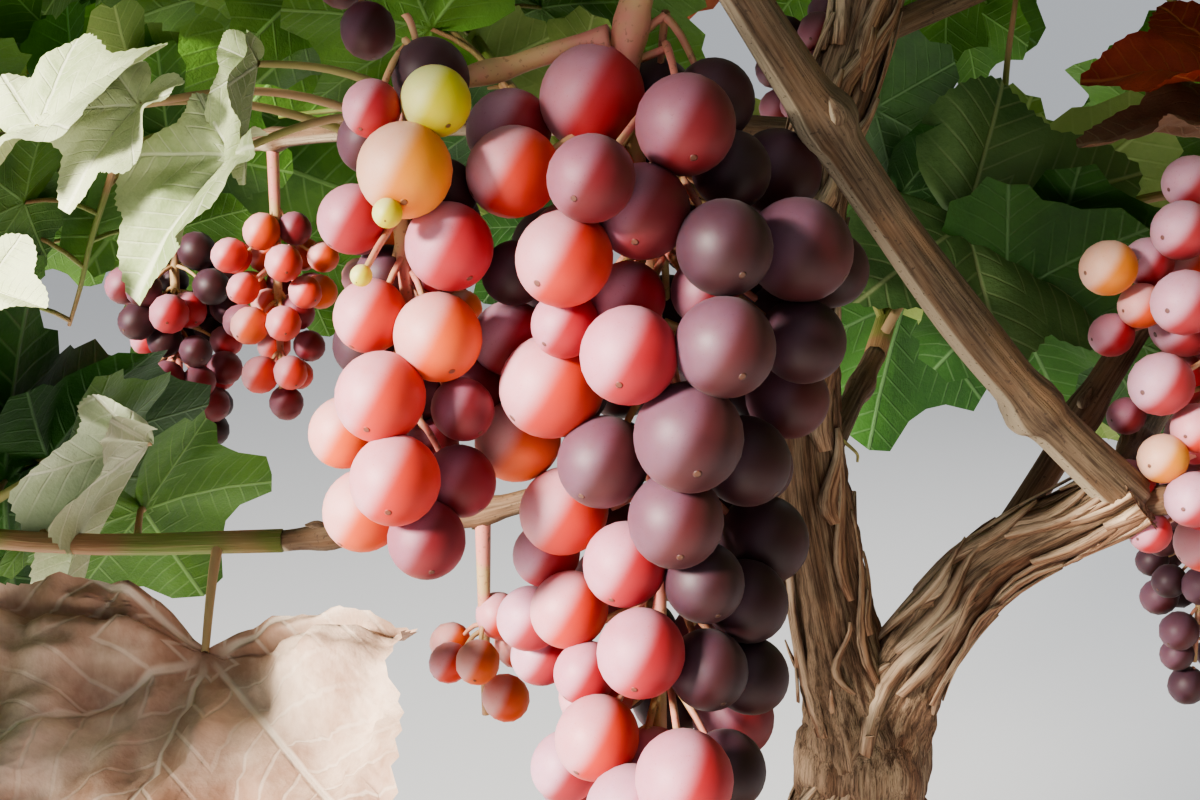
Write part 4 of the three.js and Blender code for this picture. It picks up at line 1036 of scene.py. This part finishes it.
wing_x, wing_y = wing_place[:2]
body_stalk = [FRONT_JOINT, FRONT_NECK, (neck_x + 6, neck_y, neck_z - 60), (neck_x + 8, neck_y, neck_z - 150)]
wing_stalk = [WING_JOINT, WING_BEND, (wing_x, wing_y, neck_z - 12), (wing_x, wing_y, neck_z - 60)]
front_stalks = Net()
for stalk, radii in ((body_stalk, (3.3, 1.5)), (wing_stalk, (2.3, 1.3))):
    relief = cane_relief([0.0, 0.22], 120, 2)
    front_stalks.add(*limb(Line(stalk), taper(radii), np.linspace(0, 1, 60), 20, relief))
body_own = [b for b in front_berries if b["x"] >= neck_x + WING_SPLIT]
wing_own = [b for b in front_berries if b["x"] < neck_x + WING_SPLIT]
front_stems = [(body_own, *body_place[:2], 16), (wing_own, wing_x, wing_y, 12)]
for stem, radii in zip(front_stems, ((0.95, 0.75), (0.85, 0.7))):
    berry_stalks(front_stalks, *stem, radii)
add_piece("front_bunch_stalks", front_stalks, bunch_stalk.material)
berry_pieces("front_grapes", front_stems, rows=15, columns=26, nodes=["front_bunch"])


# Other bunches.
# Bunches of the same vine further off: a pale pink and amber one at the right, with a shoulder on its near side, a
# plum and pink one under it, and small purple and orange ones in the shade at the left and behind. Each hangs on a
# thin stalk from a node of its cane.

# cane, share along it, stalk, length, radius, berry, seed, tints in the order that they are dealt
BUNCHES = {
    "right_bunch": ("right_cane", 0.58, 26, 118, 33, 16.5, 21, ("pink", "rose", "pink", "amber", "pink", "coral")),
    "back_bunch": ("back_cane", 0.86, 32, 128, 30, 14.5, 22, ("purple", "plum", "wine")),
    "low_back_right_bunch": ("low_back_right_cane", 0.9, 30, 126, 29, 14, 23, ("purple", "plum")),
    "low_left_bunch": ("left_cane", 0.62, 24, 40, 19, 12.5, 24, ("orange", "coral", "amber")),
    "inner_back_left_bunch": ("low_back_left_cane", 0.52, 30, 96, 25, 13, 25, ("orange", "coral", "amber", "rose")),
    "middle_back_left_bunch": ("low_back_left_cane", 0.75, 26, 78, 22, 12, 26, ("coral", "orange", "wine")),
    "outer_back_left_bunch": (
        "low_back_left_cane", 0.96, 30, 108, 27, 13.5, 27, ("plum", "wine", "purple", "rose"),
    ),
    "high_back_left_bunch": ("high_back_left_cane", 0.9, 30, 132, 28, 14, 28, ("purple", "plum", "wine")),
    "low_right_bunch": ("low_right_cane", 0.8, 26, 112, 28, 14.5, 29, ("plum", "pink", "purple", "rose", "pink")),
    "left_bunch": ("left_cane_above", 0.82, 30, 120, 28, 14.5, 30, ("rose", "coral", "plum")),
    "high_right_bunch": ("high_right_cane", 0.86, 28, 116, 27, 14, 31, ("purple", "wine", "plum")),
}
NEAR_BUNCHES = ("right_bunch", "low_right_bunch")
# the right bunch's shoulder on the near side: tint, distance across, forward and down from its joint, size
SHOULDER_BERRIES = [
    ("pink", -24.8, 10.2, 22.9, 12.8), ("pink", -29.4, 19.2, 33.7, 14.0), ("amber", -45.9, 18.8, 42.5, 13.1),
    ("pink", -34.0, 11.5, 41.7, 11.9), ("pink", -30.3, 25.1, 49.8, 15.2), ("orange", -36.5, 16.3, 51.7, 10.9),
    ("rose", -41.9, 12.6, 59.2, 10.6), ("pink", -35.0, 27.4, 68.6, 14.8), ("wine", -39.6, 18.9, 77.7, 9.0),
    ("coral", -25.7, 26.3, 79.2, 11.7), ("amber", -34.0, 28.4, 85.9, 11.6), ("pink", -39.5, 26.7, 93.5, 12.2),
    ("pink", -28.0, 30.0, 94.6, 13.0), ("rose", -35.0, 26.6, 104.2, 9.9),
]
BUNCH_PROFILE = [(0, 0.55), (0.16, 1), (0.5, 0.86), (0.8, 0.6), (1, 0.2)]

hanging_stalks = Net()
near_stems, far_stems = [], []
for name, (cane, share, stalk, length, radius, berry, seed, dealt) in BUNCHES.items():
    joint = limbs[cane][0].at(share)
    x, y, top = joint[0], joint[1], joint[2] - stalk
    deal = lambda across, back, down, dealt=dealt: dealt[int(abs(across * 17 + back * 31 + down * 53)) % len(dealt)]
    berries = []
    if name == "right_bunch":
        berries = settled([placed_berry(joint, *row) for row in SHOULDER_BERRIES])
    fill_rings(berries, x, y, top - berry / 3, length - berry, radius, berry, BUNCH_PROFILE, seed, deal)
    inside = (length - 2.4 * berry, radius * 0.62, berry)
    fill_rings(berries, x, y, top - berry, *inside, BUNCH_PROFILE, seed + 40, deal)
    stem = Line([joint, (x, y, top), (x, y, top - length * 0.8)])
    hanging_stalks.add(*limb(stem, taper((2.2, 1)), np.linspace(0, 1, 16), 9))
    berry_stalks(hanging_stalks, berries, x, y, 7, (0.8, 0.6))
    (near_stems if name in NEAR_BUNCHES else far_stems).append((berries, x, y, 7))
add_piece("hanging_bunch_stalks", hanging_stalks, bunch_stalk.material)
far_bunches = [name for name in BUNCHES if name not in NEAR_BUNCHES]
berry_pieces("near_grapes", near_stems, rows=11, columns=18, nodes=NEAR_BUNCHES)
berry_pieces("far_grapes", far_stems, rows=7, columns=12, nodes=far_bunches)


# Leafy shoots.
# The year's green growth: from each cane's tip a stem with side twigs, and at each node a leaf with five toothed
# lobes on a long stalk. The main ones follow the plain part's seeded rule. Finer twigs and smaller leaves fill in
# between, out to the same reach.

POT_CLEARANCE, BOX_MARGIN, SHADED_WITHIN, CLOSE_LEAF = 12, 10, 110, 190
CROWN_AXIS = np.array([0, 20, 0])
STEM_LENGTH, TWIG_LENGTH, LAST_NODE = 215, 112, 0.97
STEM_RADII, TWIG_RADII, SWAY = (3.2, 1.9), (2.4, 1.4), 0.22
STEM_ROWS, STEM_SIDES, TWIG_SIDES = 14, 9, 7
TWIGS = [(0.28, 1), (0.55, -1)]
TWIG_ONWARD, TWIG_RISE, TWIG_BEND = 0.45, 0.25, -0.2
SHOOT_REACH, END_SHARE, FACE_OUT, FACE_SWAY, NOTCH = 205, 0.8, 0.8, 0.9, 0.42
# distance between nodes, room to limbs and to other leaves, tries for a leaf, blade lengths at foot and tip, stalk
MAIN_GROWTH = {"step": 26, "clear": 9, "apart": 8, "tries": 30, "lengths": (84, 58), "stalk": 54}
FINE_GROWTH = {"step": 13, "clear": 2.5, "apart": 3, "tries": 12, "lengths": (58, 34), "stalk": 34}
# where the finer twigs spring, as shares of a stem and of a twig
FINE_TWIG, FINE_RADII, FINE_SEED = 78, (1.5, 0.8), 4000
TWIG_TESTS = np.linspace(0, 1, 13)
STEM_FORKS, TWIG_FORKS = (0.1, 0.24, 0.38, 0.52, 0.66, 0.8, 0.92), (0.25, 0.5, 0.75, 0.95)
LEAF_CUP, LEAF_FOLD, LEAF_RELIEF, HUB = 0.16, 0.22, 0.8, 0.1
# the main veins' angles, half of what puffs up between two, and the teeth: out, in, and how far from the tip
VEIN_ANGLES, PUFF_HALF, TEETH, TEETH_WITHIN, COARSE_SIDES = (0, 50, 108), 26, (0.045, -0.035), 164, 48
# a dry blade's ripples: seed and size as a share of its length
WRINKLES = ((5, 0.5), (6, 0.22), (7, 0.1))
# how a leaf stands on its node: the least value, and the room that chance has above it
STANCE = {
    "across": (0.75, 0.4), "onward": (0, 0.35), "rise": (0, 0.7), "reach": (0.75, 0.5), "face_up": (0.1, 0.5),
    "droop": (0.35, 0.5), "size": (0.85, 0.3),
}
# half a blade as degrees from its tip and share of its length: the plain one for testing places, and the lobed one
PLAIN_OUTLINE = [(0, 1), (50, 0.86), (130, 0.7), (140, 0.15), (180, 0.06)]
LOBED_OUTLINE = [
    (0, 1), (14, 0.86), (27, 0.7), (40, 0.8), (52, 0.88), (66, 0.74), (80, 0.58), (95, 0.62), (110, 0.7),
    (125, 0.66), (138, 0.62), (150, 0.54), (160, 0.4), (168, 0.24), (176, 0.1), (180, 0.06),
]
# a blade's points round it and rings out to its rim
MAIN_BLADE, FINE_BLADE, SHOWN_BLADE = (52, 4), (40, 3), (168, 16)

# the clear view onto the front bunch, and the upright room round each bunch
VIEW_DEPTH, VIEW_HALF_WIDTH, VIEW_HALF_HEIGHT = 400, 0.43, 0.3
bunch_rooms = [
    (neck_x + 4, neck_y, neck_z + 8, neck_z - BODY_LENGTH, BODY_RADIUS + 10),
    (neck_x + WING_SHIFT, neck_y - 8, neck_z + 8, neck_z - WING_LENGTH - 10, WING_RADIUS + 10),
]
for cane, share, stalk, length, radius, *_ in BUNCHES.values():
    joint = limbs[cane][0].at(share)
    bunch_rooms.append((joint[0], joint[1], joint[2], joint[2] - stalk - length, radius + 5))
bunch_rooms = np.array(bunch_rooms)
limb_spots = np.vstack([line.at(np.linspace(0, 1, 61)) for line, _ in limbs.values()])
limb_radii = np.concatenate([[float(radius(t)) for t in np.linspace(0, 1, 61)] for _, radius in limbs.values()])


def in_view(points):
    """Whether points lie in the pyramid of view, nearer than the background."""
    away = points - np.array(EYE) / MM
    tilt = math.radians(TILT)
    depth = away[:, 1] * math.cos(tilt) - away[:, 2] * math.sin(tilt)
    rise = away[:, 1] * math.sin(tilt) + away[:, 2] * math.cos(tilt)
    wide = abs(away[:, 0]) < VIEW_HALF_WIDTH * depth
    return (depth > 0) & (depth < VIEW_DEPTH) & wide & (abs(rise) < VIEW_HALF_HEIGHT * depth)


def in_bunch(points):
    x, y, top, foot, radius = bunch_rooms.T
    flat = np.hypot(points[:, :1] - x, points[:, 1:2] - y)
    return ((points[:, 2:] < top) & (points[:, 2:] > foot) & (flat < radius)).any(1)


def near_limb(points, limit):
    return any((np.linalg.norm(limb_spots - p, axis=1) < limb_radii + limit).any() for p in points)


def in_space(points, shoot):
    """A shoot keeps to the points that are nearer to its own middle than to any other shoot's."""
    own = np.linalg.norm(points - shoot["middle"], axis=1)
    others = np.array([s["middle"] for s in shoots if s is not shoot])
    far = np.linalg.norm(points[:, None] - others, axis=2).min(1)
    low, high = np.array(cad_box) / MM
    boxed = ((points > low - BOX_MARGIN) & (points < high + BOX_MARGIN)).all(1)
    return (boxed & (own < SHOOT_REACH) & (points[:, 2] > POT_HEIGHT + POT_CLEARANCE) & (far > own + 3)).all()


def is_free(points, shoot):
    """Whether points keep to a shoot's own space, and out of the clear view and of the bunches' rooms."""
    return in_space(points, shoot) and not in_view(points).any() and not in_bunch(points).any()


def grown_line(start, way, length, bend, draw):
    """The line of a stem or twig: four steps that bend up or down, each swayed a little by chance."""
    points, heading = [start], np.array(way, float)
    for _ in range(4):
        heading = heading + UP * bend / 4
        heading = unit(heading + np.array([draw() - 0.5, draw() - 0.5, draw() - 0.5]) * SWAY)
        points.append(points[-1] + heading * length / 4)
    return Line(points)


def blade_axes(tip, face):
    along = unit(tip - face * (tip @ face))
    return np.stack([along, np.cross(face, along), face], 1)


def drawn_leaf(node, way, side, share, draw, growth):
    """A leaf on a node: its stalk leans out to one side, and its blade faces up and outwards with its tip down."""
    drawn = lambda name: STANCE[name][0] + STANCE[name][1] * draw()
    stalk = unit(np.cross(way, UP)) * side * drawn("across") + way * drawn("onward")
    stalk = unit(stalk + UP * drawn("rise"))
    base = node + stalk * growth["stalk"] * (1 - 0.4 * share) * drawn("reach")
    outward = unit((base - CROWN_AXIS) * (1, 1, 0))
    face = outward * FACE_OUT + UP * drawn("face_up")
    face = unit(face + np.array([draw() - 0.5, draw() - 0.5, 0]) * FACE_SWAY)
    tip = unit(stalk - UP * drawn("droop"))
    first, last = growth["lengths"]
    length = (first + (last - first) * share) * drawn("size")
    return {"node": node, "base": base, "axes": blade_axes(tip, face), "length": length}


test_turn = np.radians(np.arange(-165, 181, 15))[:, None]
test_reach = graph(PLAIN_OUTLINE, np.degrees(abs(test_turn))) * np.array([0.3, 0.65, 1])
test_x, test_y = np.cos(test_turn) * test_reach, np.sin(test_turn) * test_reach
test_z = (LEAF_FOLD * abs(test_y) - LEAF_CUP * (test_x**2 + test_y**2)) * LEAF_RELIEF
test_blade = np.stack([test_x, test_y, test_z], -1).reshape(-1, 3)


def through_notch(leaf):
    """Whether the stalk comes in between the blade's two rear lobes."""
    x, y, _ = leaf["axes"].T @ (leaf["node"] - leaf["base"])
    return x < -leaf["length"] * 0.15 and abs(y) < (leaf["length"] * HUB - x) * NOTCH


def add_leaves_along(leaves, line, length, shoot, draw, fine=False):
    """Leaves on alternate sides of a stem or twig, each tried again until it keeps clear of all that is there.
    Fine growth has closer nodes, smaller leaves and fewer tries, and may come nearer to limbs and other leaves."""
    growth = FINE_GROWTH if fine else MAIN_GROWTH
    count = math.floor(length / growth["step"])
    shaded = np.linalg.norm(shoot["start"][:2]) < SHADED_WITHIN
    tint = deal_tint(draw) if fine else deal_tint(seeded(shoot["seed"] + len(leaves) + round(length)))
    tint = "deep_green" if shaded and tint in ("yellow", "red_brown", "dry") else tint
    for i in range(1, count + 1):
        share = i / count
        node, way = line.at(share * LAST_NODE), line.way(share * LAST_NODE)
        for _ in range(growth["tries"]):
            leaf = drawn_leaf(node, way, 1 if i % 2 else -1, share * END_SHARE, draw, growth)
            points = np.vstack([leaf["base"] + leaf["length"] * test_blade @ leaf["axes"].T, leaf["base"]])
            if not through_notch(leaf) or not is_free(points, shoot) or near_limb(points, growth["clear"]):
                continue
            close = [other for other in leaves if np.linalg.norm(other["base"] - leaf["base"]) < CLOSE_LEAF]
            gaps = (np.linalg.norm(other["points"][:, None] - points, axis=2) for other in close)
            if any((gap < growth["apart"]).any() for gap in gaps):
                continue
            leaves.append({**leaf, "points": points, "tint": tint, "fine": fine})
            break


# the sprays' tints and how often each is dealt: share of the sprays up to and with it, then deep and light colour
LEAF_TINTS = {
    "mid_green": (0.40, (0.060, 0.165, 0.022), (0.135, 0.300, 0.045)),
    "deep_green": (0.66, (0.022, 0.085, 0.016), (0.060, 0.175, 0.030)),
    "pale_green": (0.86, (0.200, 0.330, 0.075), (0.360, 0.470, 0.150)),
    "yellow": (0.93, (0.430, 0.400, 0.050), (0.680, 0.590, 0.130)),
    "red_brown": (0.97, (0.190, 0.040, 0.016), (0.360, 0.110, 0.038)),
    "dry": (1.0, (0.230, 0.135, 0.070), (0.440, 0.300, 0.180)),
}


def deal_tint(draw):
    share = draw()
    return next(tint for tint, (upto, _, _) in LEAF_TINTS.items() if share <= upto)


shoots = []
for name, seed in shoot_seeds.items():
    line, _ = limbs[name]
    way = line.way(1.0)
    start = line.at(1.0) + way * GAP
    middle = start + way * STEM_LENGTH * 0.5
    shoots.append({"name": name, "start": start, "way": way, "middle": middle, "seed": seed})

stems = Net()
all_leaves = []
shoot_lines = {}
for shoot in shoots:
    draw, fine_draw = seeded(shoot["seed"]), seeded(shoot["seed"] + FINE_SEED)
    bend = -0.25 if shoot["way"][2] > 0.3 else 0.15
    stem = grown_line(shoot["start"], shoot["way"], STEM_LENGTH, bend, draw)
    shoot_lines[shoot["name"]] = stem
    grown = [(stem, STEM_RADII, STEM_LENGTH)]
    leaves = []
    add_leaves_along(leaves, stem, STEM_LENGTH, shoot, draw)
    for share, side in TWIGS:
        tangent = stem.way(share)
        across = unit(np.cross(tangent, UP)) * side
        way = unit(across + tangent * TWIG_ONWARD + UP * TWIG_RISE)
        twig = grown_line(stem.at(share), way, TWIG_LENGTH, TWIG_BEND, draw)
        if is_free(spline(twig.points, TWIG_TESTS), shoot):
            grown.append((twig, TWIG_RADII, TWIG_LENGTH))
            add_leaves_along(leaves, twig, TWIG_LENGTH, shoot, draw)
    # the finer twigs, on all sides of what has grown
    for line, radii, length in list(grown):
        for share in STEM_FORKS if length == STEM_LENGTH else TWIG_FORKS:
            tangent = line.way(share)
            out = off_to_a_side(tangent, fine_draw() * 2 * math.pi)
            twig = grown_line(line.at(share), unit(out + tangent * 0.5), FINE_TWIG, 0.1, fine_draw)
            points = spline(twig.points, TWIG_TESTS)
            if is_free(points, shoot) and not near_limb(points[3:], 2):
                grown.append((twig, FINE_RADII, FINE_TWIG))
                add_leaves_along(leaves, twig, FINE_TWIG, shoot, fine_draw, fine=True)
    add_leaves_along(leaves, stem, STEM_LENGTH, shoot, fine_draw, fine=True)
    for number, (line, radii, length) in enumerate(grown):
        sides = STEM_SIDES if length == STEM_LENGTH else TWIG_SIDES
        points, faces, grain = limb(line, taper(radii), np.linspace(0, 1, STEM_ROWS), sides)
        stems.add(points, faces, grain + (0, 0, number))
    all_leaves += leaves


def blade_points(leaves, sides, rows, draw, wave=0.03, wrinkle=0.0):
    """The blades of many leaves as rings round their bases. A ring is the lobed outline drawn in, with teeth at the
    rim, and its height is folded along the midrib, cupped, puffed up between the main veins and waved at the
    edge. A wrinkled one has ripples of three sizes too, and the two halves of one that is shut are turned up."""
    count = len(leaves)
    turn = np.linspace(-180, 180, sides, endpoint=False)
    bearing = np.radians(turn)
    share = (np.arange(1, rows + 1) / rows)[:, None]
    reach = graph(LOBED_OUTLINE, abs(turn))
    depth = COARSE_SIDES / sides if sides > COARSE_SIDES + 12 else 1
    teeth = np.where(np.arange(sides) % 2, *TEETH) * (abs(turn) < TEETH_WITHIN) * depth
    reach = (reach * (1 + teeth * share**4)) * share
    vary = draw.uniform(-1, 1, (8, count, 1, 1))
    skew = 1 + 0.07 * np.sin(bearing * 2 + 3 * vary[0]) + 0.05 * np.sin(bearing * 3 + 4 * vary[1])
    flat = reach * skew
    x, y = np.cos(bearing) * flat, np.sin(bearing) * flat
    each = lambda key, usual: np.array([leaf.get(key, usual) for leaf in leaves])[:, None, None]
    x, y = np.where(x < 0, x * each("rear", 1.0), x), y * each("wide", 1.0)
    off_vein = np.minimum.reduce([abs(abs(turn) - angle) for angle in VEIN_ANGLES])
    puff = 0.035 * np.sin(np.minimum(off_vein, PUFF_HALF) / PUFF_HALF * math.pi / 2) * np.sin(share * math.pi * 0.8)
    fold = LEAF_FOLD * (1 + 0.45 * vary[2]) * abs(y) - LEAF_CUP * (1 + 0.5 * vary[3]) * (x**2 + y**2)
    sway = np.sin(bearing * 5 + 3 * vary[4]) + 0.7 * np.sin(bearing * 9 + 3 * vary[5])
    curl = 0.1 * vary[6] * x**2 * np.sign(x) + 0.1 * vary[7] * x * y
    z = fold * LEAF_RELIEF + puff + wave * share**2 * sway + curl
    if wrinkle:
        spots = np.stack([x, y, 0 * x], -1)
        z = z + wrinkle * sum(size**0.8 * 2 * ripples(spots, seed, size) for seed, size in WRINKLES)
    shut = np.radians(each("shut", 0.0))
    sideways = y * np.cos(shut) - np.sign(y) * z * np.sin(shut)
    upwards = z * np.cos(shut) + abs(y) * np.sin(shut)
    blades = (np.stack(shape, -1).reshape(count, -1, 3) for shape in ((x, y, z), (x, sideways, upwards)))
    blank, local = (np.concatenate([blade, np.zeros((count, 1, 3))], 1) for blade in blades)
    lengths = np.array([leaf["length"] for leaf in leaves])[:, None, None]
    axes = np.array([leaf["axes"] for leaf in leaves])
    placed = np.array([leaf["base"] for leaf in leaves])[:, None] + lengths * np.einsum("nij,npj->npi", axes, local)
    chance = np.broadcast_to(draw.uniform(0, 1, (count, 1, 1)), (count, local.shape[1], 1))
    marks = np.concatenate([blank[..., :2], chance], -1)
    here = np.arange(sides)
    hub = np.stack([np.full(sides, rows * sides), here, (here + 1) % sides], 1)
    return placed, [woven(rows, sides)[:, ::-1], hub], marks


def leaf_finish(name, deep, light, vein, roughness=0.5):
    """A leaf: darker between pale main veins, which spread from the base at three angles, and the side veins."""
    finish = Finish(name, Specular_IOR_Level=0.35)
    x, y, chance = finish.split(finish.grain)
    across = abs(y)
    turn = across.maths("ARCTAN2", across, x)
    middle, side, rear = VEIN_ANGLES
    to_side = (turn > math.radians((middle + side) / 2)) * math.radians(side - middle)
    to_rear = (turn > math.radians((side + rear) / 2)) * math.radians(rear - side)
    sector = to_side + to_rear
    sine, cosine = sector.maths("SINE", sector), sector.maths("COSINE", sector)
    off = abs(x * sine - across * cosine)
    along = x * cosine + across * sine
    main = off.step(0.016, 0.004) * along.step(0.0, 0.1)
    ribs = (along - off * 0.75) * 9.5
    rib = abs(ribs.maths("FRACT", ribs) - 0.5).step(0.10, 0.02) * off.step(0.34, 0.05)
    veins = main.maths("MAXIMUM", main, rib * 0.55)
    cloud = finish.place.noise(26, 4, 0.6)
    fine = finish.grain.noise(38, 3, 0.6)
    share = cloud.step(0.3, 0.7) * 0.5 + chance * 0.35 + fine * 0.25
    blade = share.step(0.15, 0.95).between(deep, light)
    finish.set(Base_Color=(veins * 0.6).between(blade, vein), Roughness=roughness - 0.1 + 0.2 * fine)
    finish.relief(fine * 0.5 + (1 - veins) * 0.5, 0.0006)
    return finish


leaf_draw = np.random.default_rng(31)
for tint, (_, deep, light) in LEAF_TINTS.items():
    vein = tuple(min(1, c * 1.25 + 0.10) for c in light)
    skin = leaf_finish("vine_leaf_" + tint, deep, light, vein)
    for fine in (False, True):
        own = [leaf for leaf in all_leaves if leaf["tint"] == tint and leaf["fine"] == fine]
        if own:
            net = Net()
            add_copies(net, *blade_points(own, *(FINE_BLADE if fine else MAIN_BLADE), leaf_draw))
            add_piece(("fine_leaves_" if fine else "leaves_") + tint, net, skin.material)


def stalk_lines(leaves, rise):
    """Where each leaf's stalk starts and ends, and how far it bows up, as a share of its length."""
    nodes_at, bases_at = (np.array([leaf[end] for leaf in leaves]) for end in ("node", "base"))
    return nodes_at, bases_at, np.linalg.norm(bases_at - nodes_at, axis=1)[:, None] * rise * UP


leaf_stalks = Net()
thin_tubes(leaf_stalks, *stalk_lines(all_leaves, 0.1), (1.15, 0.8))
young_stem = Finish("young_stem", Roughness=0.55)
young_cloud = young_stem.place.noise(24, 3)
young_streak = young_stem.grain.stretched((1, 1, 0.3)).noise(20, 3)
young_body = young_cloud.step(0.4, 0.62).between((0.20, 0.27, 0.06), (0.36, 0.20, 0.10))
young_stem.set(Base_Color=(young_streak.step(0.5, 0.7) * 0.5).between(young_body, (0.42, 0.36, 0.17)))
young_stem.relief(young_streak, 0.0004)
shoot_nodes = [shoot["name"].replace("_cane", "_shoot") for shoot in shoots]
add_piece("shoot_stems", stems, young_stem.material, shoot_nodes)
add_piece("leaf_stalks", leaf_stalks, young_stem.material)


# Leaves and tendrils that show in front.
# Ten leaves that are looked at closely: a pale one folded along its midrib, a big dry wrinkled one, five pale
# ones, a dark one with pale veins, and two that turned red and brown. The folded one and the five pale ones are
# pale as painted light that stands in for sun glare. Each hangs on a stalk from its stem or cane.
# Thin tendrils, dried and coiled, stand on the stems of all shoots.

# what bears it and the share along that; blade base, tip and upper face; length, depth of its wrinkles, degrees
# that each half is folded up, how long the rear lobes are, how wide the blade is, tint
KNOWN_LEAVES = [
    ("left_shoot", 0.42, (-188, 44, 626), (-0.55, 0.02, -0.83), (-0.5, -0.82, 0.3),
     54, 0.014, 62, 0.3, 0.7, "silvery"),
    ("left_shoot", 0.08, (-166, 8, 579), (-0.15, -0.7, -0.6), (-0.12, -0.62, 0.78),
     84, 0.085, 6, 0.22, 1.05, "withered"),
    ("low_back_left_cane", 0.62, (-218, 56, 710), (0.92, -0.05, 0.3), (-0.5, -0.55, 0.66),
     43, 0.016, 12, 0.6, 0.8, "bleached"),
    ("low_back_left_cane", 0.46, (-158, 58, 727), (0.05, -0.1, -1), (-0.7, -0.6, 0.25),
     31, 0.012, 40, 0.5, 0.6, "bleached"),
    ("low_back_left_cane", 0.48, (-165, 54, 703), (-0.7, -0.15, -0.7), (-0.45, -0.7, 0.5),
     46, 0.016, 25, 0.5, 0.7, "bleached"),
    ("low_back_left_cane", 0.54, (-190, 56, 716), (-0.45, -0.1, -0.88), (-0.3, -0.7, 0.62),
     34, 0.014, 18, 0.7, 0.8, "bleached"),
    ("left_shoot", 0.38, (-231, 46, 668), (0.85, -0.1, -0.4), (-0.4, -0.7, 0.55),
     28, 0.012, 20, 0.7, 0.8, "bleached"),
    ("middle_back_shoot", 0.04, (42, 92, 682), (0.75, 0.1, -0.62), (0.1, -0.9, 0.42),
     62, 0.01, 10, 1, 1, "shaded"),
    ("right_cane", 0.52, (104, 44, 721), (-0.9, 0.3, -0.12), (0.05, -0.42, 0.9),
     42, 0.03, 15, 1, 1, "scarlet"),
    ("right_cane", 0.47, (102, 40, 706), (-0.88, 0.2, -0.02), (0.1, -0.3, 0.95),
     40, 0.04, 20, 1, 1, "browned"),
]
# the first two tints are pale colours that stand in for sun glare on those leaves, as painted light
KNOWN_TINTS = {
    "silvery": ((0.44, 0.52, 0.32), (0.76, 0.80, 0.60), (0.86, 0.86, 0.70)),
    "bleached": ((0.26, 0.36, 0.14), (0.66, 0.72, 0.46), (0.84, 0.86, 0.68)),
    "withered": ((0.38, 0.215, 0.145), (0.88, 0.700, 0.560), (0.90, 0.79, 0.66)),
    "browned": ((0.17, 0.075, 0.045), (0.42, 0.230, 0.145), (0.52, 0.36, 0.24)),
    "shaded": ((0.050, 0.120, 0.035), (0.150, 0.250, 0.085), (0.42, 0.48, 0.24)),
    "scarlet": ((0.26, 0.020, 0.010), (0.52, 0.085, 0.035), (0.60, 0.20, 0.08)),
}

bearers = {name.replace("_cane", "_shoot"): line for name, line in shoot_lines.items()}
bearers.update({name: line for name, (line, _) in limbs.items()})
known_leaves = []
for bearer, share, base, tip, face, length, wrinkle, shut, rear, wide, tint in KNOWN_LEAVES:
    leaf = {"node": bearers[bearer].at(share), "base": np.array(base), "length": length, "wrinkle": wrinkle}
    axes = blade_axes(unit(np.array(tip)), unit(np.array(face)))
    known_leaves.append({**leaf, "axes": axes, "shut": shut, "rear": rear, "wide": wide, "tint": tint})
known_draw = np.random.default_rng(5)
for tint, colours in KNOWN_TINTS.items():
    net = Net()
    for leaf in known_leaves:
        if leaf["tint"] == tint:
            add_copies(net, *blade_points([leaf], *SHOWN_BLADE, known_draw, 0.04, leaf["wrinkle"]))
    skin = leaf_finish("vine_leaf_" + tint, *colours, roughness=0.6)
    add_piece("shown_leaf_" + tint, net, skin.material)

curls = Net()
thin_tubes(curls, *stalk_lines(known_leaves, 0.08), (1.5, 1.0), 10, 12)


def tendril(start, way, length, radius, coils):
    """A thread that runs out, droops, and winds into a loosening coil towards its tip."""
    side = unit(np.cross(way, UP + 0.01))
    run = np.linspace(0, 1, 40)
    wind = np.clip((run - 0.45) / 0.55, 0, 1)
    turn = 2 * math.pi * coils * wind**1.3
    wide = length * 0.09 * np.sin(np.pi * np.clip(wind * 1.1, 0, 1)) + 0.3
    line = start + np.outer(run * length * (1 - 0.35 * wind), way) - np.outer(length * 0.22 * run**2, UP)
    line = line + np.outer(wide * np.sin(turn) * (wind > 0), side)
    line = line + np.outer(wide * (1 - np.cos(turn)), np.cross(side, way))
    return limb(Line(line), taper((radius, radius * 0.35)), np.linspace(0, 1, 60), sides=6)


TENDRIL_SHARES = (0.22, 0.5, 0.78)
tendril_draw = np.random.default_rng(9)
curls.add(*tendril(np.array([-17.0, 6, 640]), unit(np.array([0.75, 0.02, -0.32])), 24, 0.95, 0.2))
for shoot in shoots:
    stem = shoot_lines[shoot["name"]]
    for share in TENDRIL_SHARES:
        way = stem.way(share)
        side = np.cross(way, UP) * tendril_draw.choice([-1, 1])
        out = unit(side + way * 0.6 + UP * tendril_draw.uniform(-0.5, 0.5))
        length, coils = tendril_draw.uniform(38, 72), tendril_draw.uniform(1.5, 3.5)
        points, faces, grain = tendril(stem.at(share), out, length, 0.75, coils)
        if is_free(points[::12], shoot):
            curls.add(points, faces, grain)
dry_green = Finish("tendril", Roughness=0.6)
drying = dry_green.place.noise(18, 2).step(0.42, 0.58)
dry_green.set(Base_Color=drying.between((0.44, 0.40, 0.16), (0.56, 0.38, 0.22)))
add_piece("tendrils", curls, dry_green.material)
